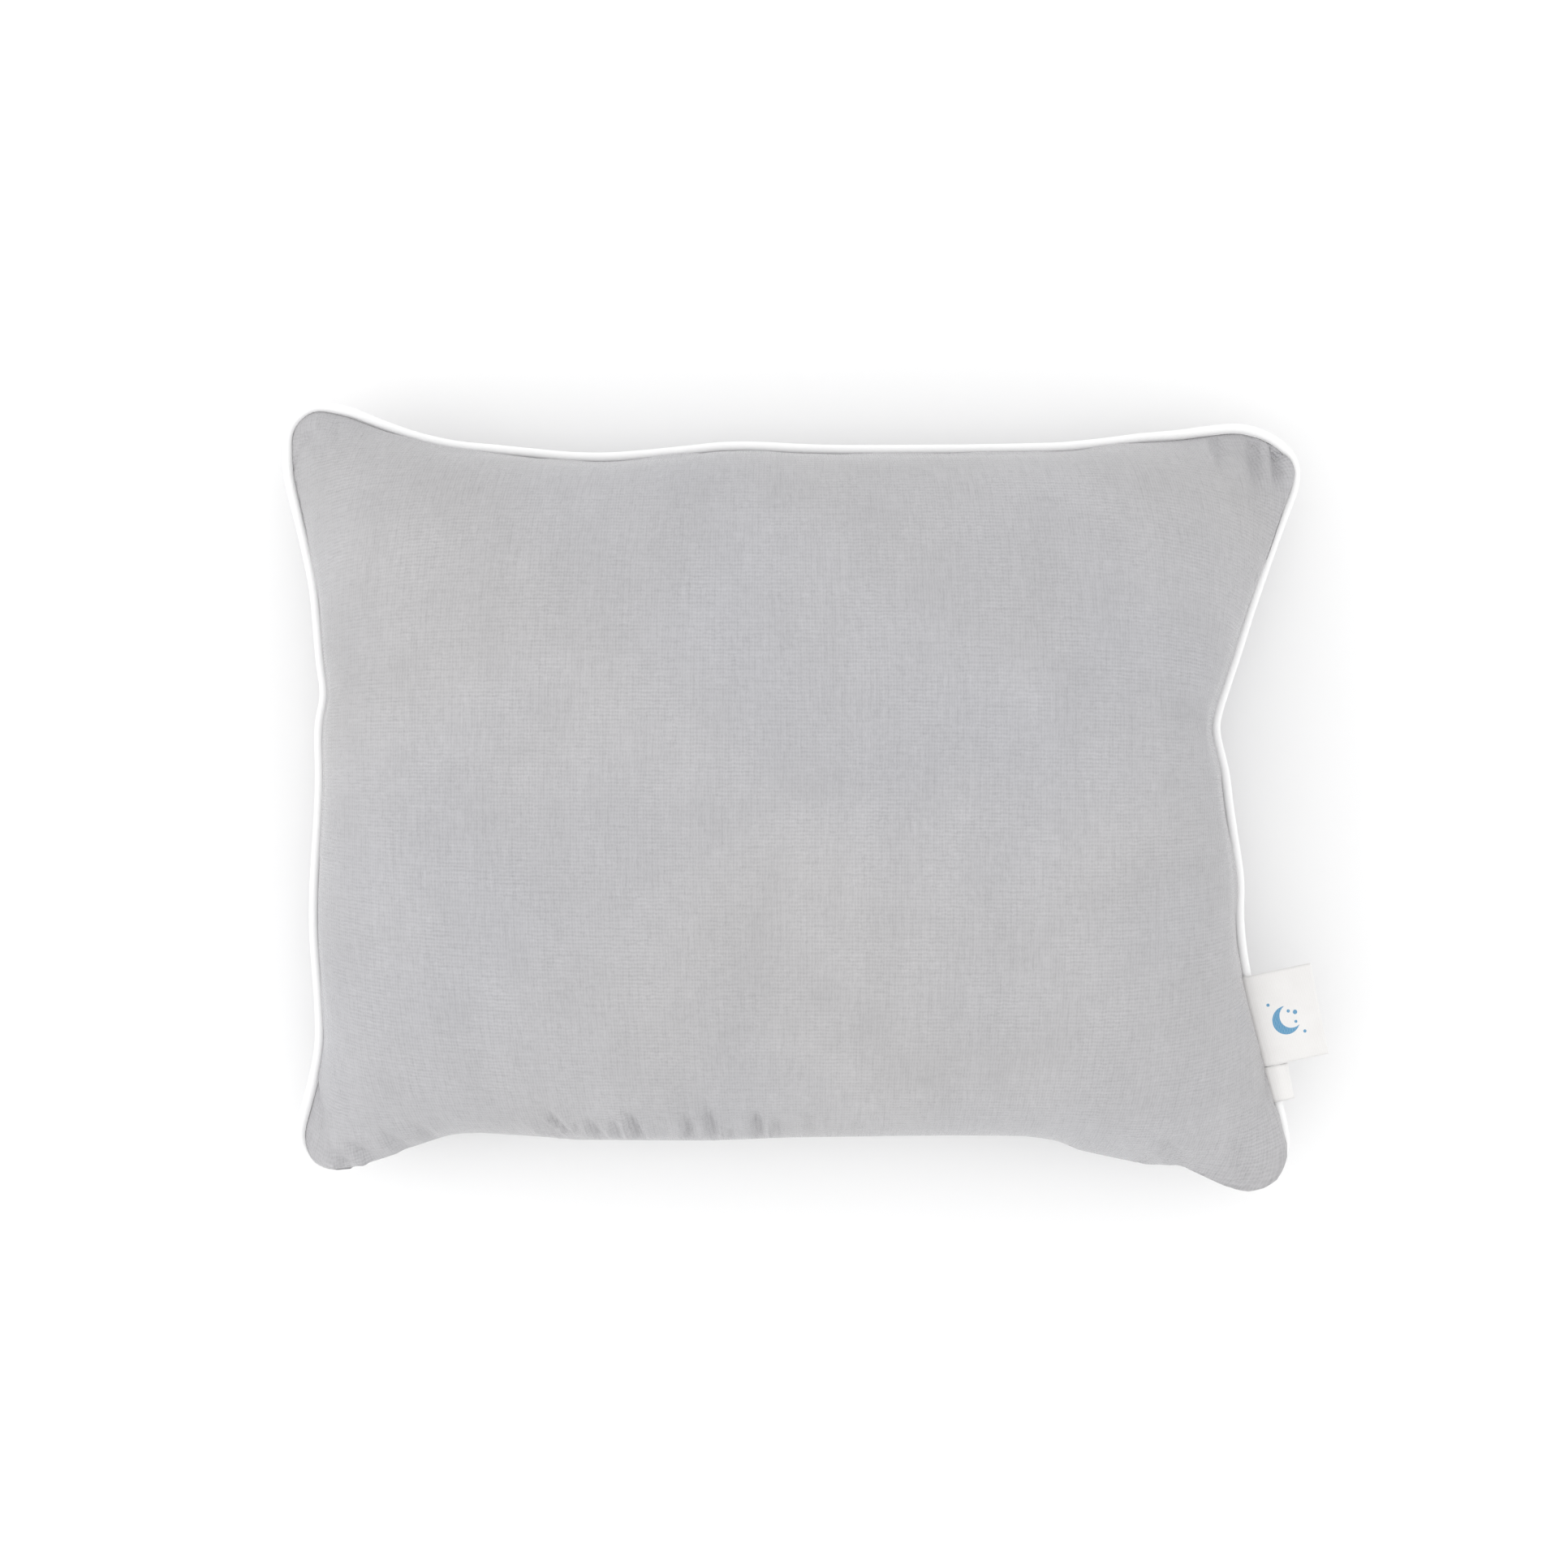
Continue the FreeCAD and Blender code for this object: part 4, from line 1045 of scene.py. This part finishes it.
def zip_coils():
    """The two coils: flattened helices whose loops sit in each other's gaps, on a cord inside each."""
    pitch, wire = 1.2, 0.27
    per_turn = 14
    for name, sign, shift in (("zip_coil_upper", 1, 0.0), ("zip_coil_lower", -1, 0.6)):
        turns = int((2 * CHAIN_HALF - 1.2) / pitch)
        t = np.arange(turns * per_turn + 1) / per_turn
        angle = 2 * math.pi * t
        xs = -CHAIN_HALF + 0.6 + shift + pitch * t
        ys = CHAIN_Y - 0.45 + 1.05 * np.cos(angle)
        zs = CHAIN_Z + sign * (0.62 + 0.62 * np.sin(angle) - 0.28 * (1 - np.cos(angle)) / 2)
        loops = tube(np.column_stack([xs, ys, zs]), wire, 6)
        core_x = np.linspace(-CHAIN_HALF, CHAIN_HALF, 80)
        core = np.column_stack([core_x, np.full(80, CHAIN_Y + 0.1), np.full(80, CHAIN_Z + sign * 0.72)])
        tube_piece(name, "zip_coil", [loops, tube(core, 0.32, 8)])


def zip_stitching():
    """The row of stitches that holds the lower tape, sunk a little into the back panel."""
    pitch, half, depth = 3.2, 1.25, 3.4
    south = BACK[:, :14]
    normal = unit_normals(BACK, False)[:, :14]
    drop = np.linalg.norm(FLAT_BACK[:, :14] - FLAT_BACK[:, :1], axis=-1)
    columns = []
    for i in range(len(south)):
        place = [np.interp(depth, drop[i], south[i, :, k]) for k in range(3)]
        facing = [np.interp(depth, drop[i], normal[i, :, k]) for k in range(3)]
        columns.append(place + facing)
    columns = np.array(columns)
    columns = columns[np.argsort(columns[:, 0])]

    def at(x):
        return np.array([np.interp(x, columns[:, 0], columns[:, k]) for k in range(1, 6)])

    stitches = []
    for middle in np.arange(-90 + pitch / 2, 90, pitch):
        path = []
        for s in np.linspace(-1, 1, 9):
            x = middle + half * s
            y, z, nx, ny, nz = at(x)
            lift = 0.16 - 0.45 * s ** 6
            path.append((x + nx * lift, y + ny * lift, z + nz * lift))
        stitches.append(tube(np.array(path), 0.24, 6, ends=0.12))
    tube_piece("zip_stitching", "cover_thread", stitches)


def zip_metal():
    """The slider, its pull tab and the end stops keep their shapes."""
    for name in ("zip_slider", "zip_pull_tab", "zip_end_stops"):
        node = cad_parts[name]
        node.data.materials.clear()
        node.data.materials.append(LOOKS["zip_metal"])


# ---------------- labels

LABEL_TURN = math.radians(11.5)
LABEL_OUT = np.array([math.cos(LABEL_TURN), math.sin(LABEL_TURN), 0.0])
LABEL_ALONG = np.array([-math.sin(LABEL_TURN), math.cos(LABEL_TURN), 0.0])


LABEL_LAYER = 0.42  # between the middles of a label's two layers
LABEL_CLOTH = 0.26
LABEL_ROOT = -8.0  # where a label's two ends lie, from the seam
BACK_LAYER = 200.0  # moves the under layer's pattern clear of the print


def seam_under(base, along):
    """How far outside a label's base the seam runs, and how high, at places along the label."""
    rel = np.column_stack([RING, RING_Z]) - base
    out, side = rel @ LABEL_OUT, rel @ LABEL_ALONG
    near = (np.abs(out) < 15) & (np.abs(side) < 40)
    order = np.argsort(side[near])
    return [np.interp(along, side[near][order], row[near][order]) for row in (out, rel[:, 2])]


def label_profile(seam_out, seam_up, reach, fall):
    """A folded ribbon's section: out of the seam, over the piping to the fold, and back on top."""
    over = PIPING_R + 0.55
    line = [(seam_out + u, seam_up + 0.5) for u in np.linspace(LABEL_ROOT, -0.4, 5)]
    for a in np.radians(np.linspace(20, 88, 8)):
        line.append((seam_out + SEAM_GAP - over * math.cos(a), seam_up + 0.15 + over * math.sin(a)))
    crest = line[-1][1]
    start = seam_out + 4.0
    for u in np.linspace(seam_out + SEAM_GAP + 0.8, reach, 22):
        line.append((u, crest - fall * smoothstep(start, reach, u) + 0.25 * math.sin(u / 5.0)))
    lower = np.array(line)
    tangent = np.gradient(lower, axis=0)
    tangent /= np.linalg.norm(tangent, axis=1)[:, None]
    normal = np.column_stack([-tangent[:, 1], tangent[:, 0]])
    spread = LABEL_LAYER * (0.55 + 0.45 * smoothstep(seam_out + LABEL_ROOT, seam_out + 2.0, lower[:, 0]))
    upper = lower + normal * spread[:, None]
    tip = (lower[-1] + upper[-1]) / 2
    turns = np.radians(np.linspace(-70, 70, 5))
    fold = [tip + np.array([math.cos(a), math.sin(a)]) * LABEL_LAYER / 2 for a in turns]
    pattern = np.concatenate([lower[:, 0] + BACK_LAYER, np.full(5, tip[0]), upper[::-1, 0]])
    return np.vstack([lower, fold, upper[::-1]]), pattern


def label(name, at, wide, reach, fall, curl, mark):
    """A folded ribbon sewn into the seam, a little curled; it bends just outside the piping."""
    base = np.array([at[0], at[1], SEAM_Z])
    along = np.linspace(-wide / 2, wide / 2, 30 if mark else 14)
    points, uv = [], []
    for w, seam_out, seam_up in zip(along, *seam_under(base, along)):
        profile, pattern = label_profile(seam_out, seam_up, reach, fall)
        lift = curl * ((2 * w / wide) ** 2 - 0.3) * smoothstep(6.0, reach, profile[:, 0])
        lift += 0.5 * curl * math.sin(w / 6.0) * smoothstep(10.0, reach, profile[:, 0])
        row = base + LABEL_OUT * profile[:, :1] + LABEL_ALONG * w
        row[:, 2] += profile[:, 1] + lift
        points.append(row)
        uv.append(np.column_stack([pattern, np.full(len(pattern), w)]))
    obj = mesh_object(name, np.vstack(points), grid_faces(len(along), len(profile)), np.vstack(uv))
    thicken(obj, LABEL_CLOTH, 0.0)
    finish_piece(obj, "label_ribbon", name, label_look(f"{name}_ribbon", mark), body=None)
    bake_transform(obj)


panel("front_panel", FRONT, FLAT, True)
panel("back_panel", BACK, FLAT_BACK, False)
inner_case("inner_case_front", FRONT, FLAT, FRONT_GUIDE, True)
inner_case("inner_case_back", BACK, FLAT_BACK, BACK_GUIDE, False)
filling()
piping()
seam_threads()
zip_tapes()
zip_coils()
zip_stitching()
zip_metal()
label("brand_label", (191.5, -95.4), 39.0, 31.0, 2.5, 1.1, True)
label("care_label", (198.7, -121.8), 15.2, 11.2, 1.0, 0.3, False)


# ---------------- floor, light and camera

VIEW_WIDTH = 661.0  # how much the frame takes in at the seam's height
VIEW_MIDDLE = (-3.4, 5.3)


def floor():
    """A plain pale floor."""
    look = Look("floor", Roughness=0.9, Specular_IOR_Level=0.1)
    look.shader.inputs["Base Color"].default_value = (0.93, 0.93, 0.93, 1)
    side = 6000
    corners = [(-side, -side, 0), (side, -side, 0), (side, side, 0), (-side, side, 0)]
    obj = mesh_object("floor", corners, [[0, 1, 2, 3]], smooth=False)
    obj.data.materials.append(look.material)


def light():
    """White light from all round, and one large soft light above and to the left."""
    world = bpy.data.worlds.new("studio")
    bpy.context.scene.world = world
    world.use_nodes = True
    background = world.node_tree.nodes["Background"]
    background.inputs["Color"].default_value = (1, 1, 1, 1)
    background.inputs["Strength"].default_value = 1.19
    lamp = bpy.data.lights.new("soft_light", "AREA")
    lamp.size = 0.9
    lamp.energy = 2.4
    obj = add_object("soft_light", lamp)
    obj.location = (-1.15, -0.3, 0.95)
    obj.rotation_euler = (-obj.location).to_track_quat("-Z", "Y").to_euler()


def camera():
    """A long lens, looking straight down."""
    data = bpy.data.cameras.new("camera")
    data.lens = 85
    data.sensor_width = 36
    data.clip_end = 20
    obj = add_object("camera", data)
    distance = VIEW_WIDTH * data.lens / data.sensor_width
    obj.location = (VIEW_MIDDLE[0] * MM, VIEW_MIDDLE[1] * MM, (SEAM_Z + distance) * MM)
    bpy.context.scene.camera = obj


floor()
light()
camera()
bpy.context.scene.view_settings.view_transform = "Standard"
bpy.context.scene.view_settings.look = "None"
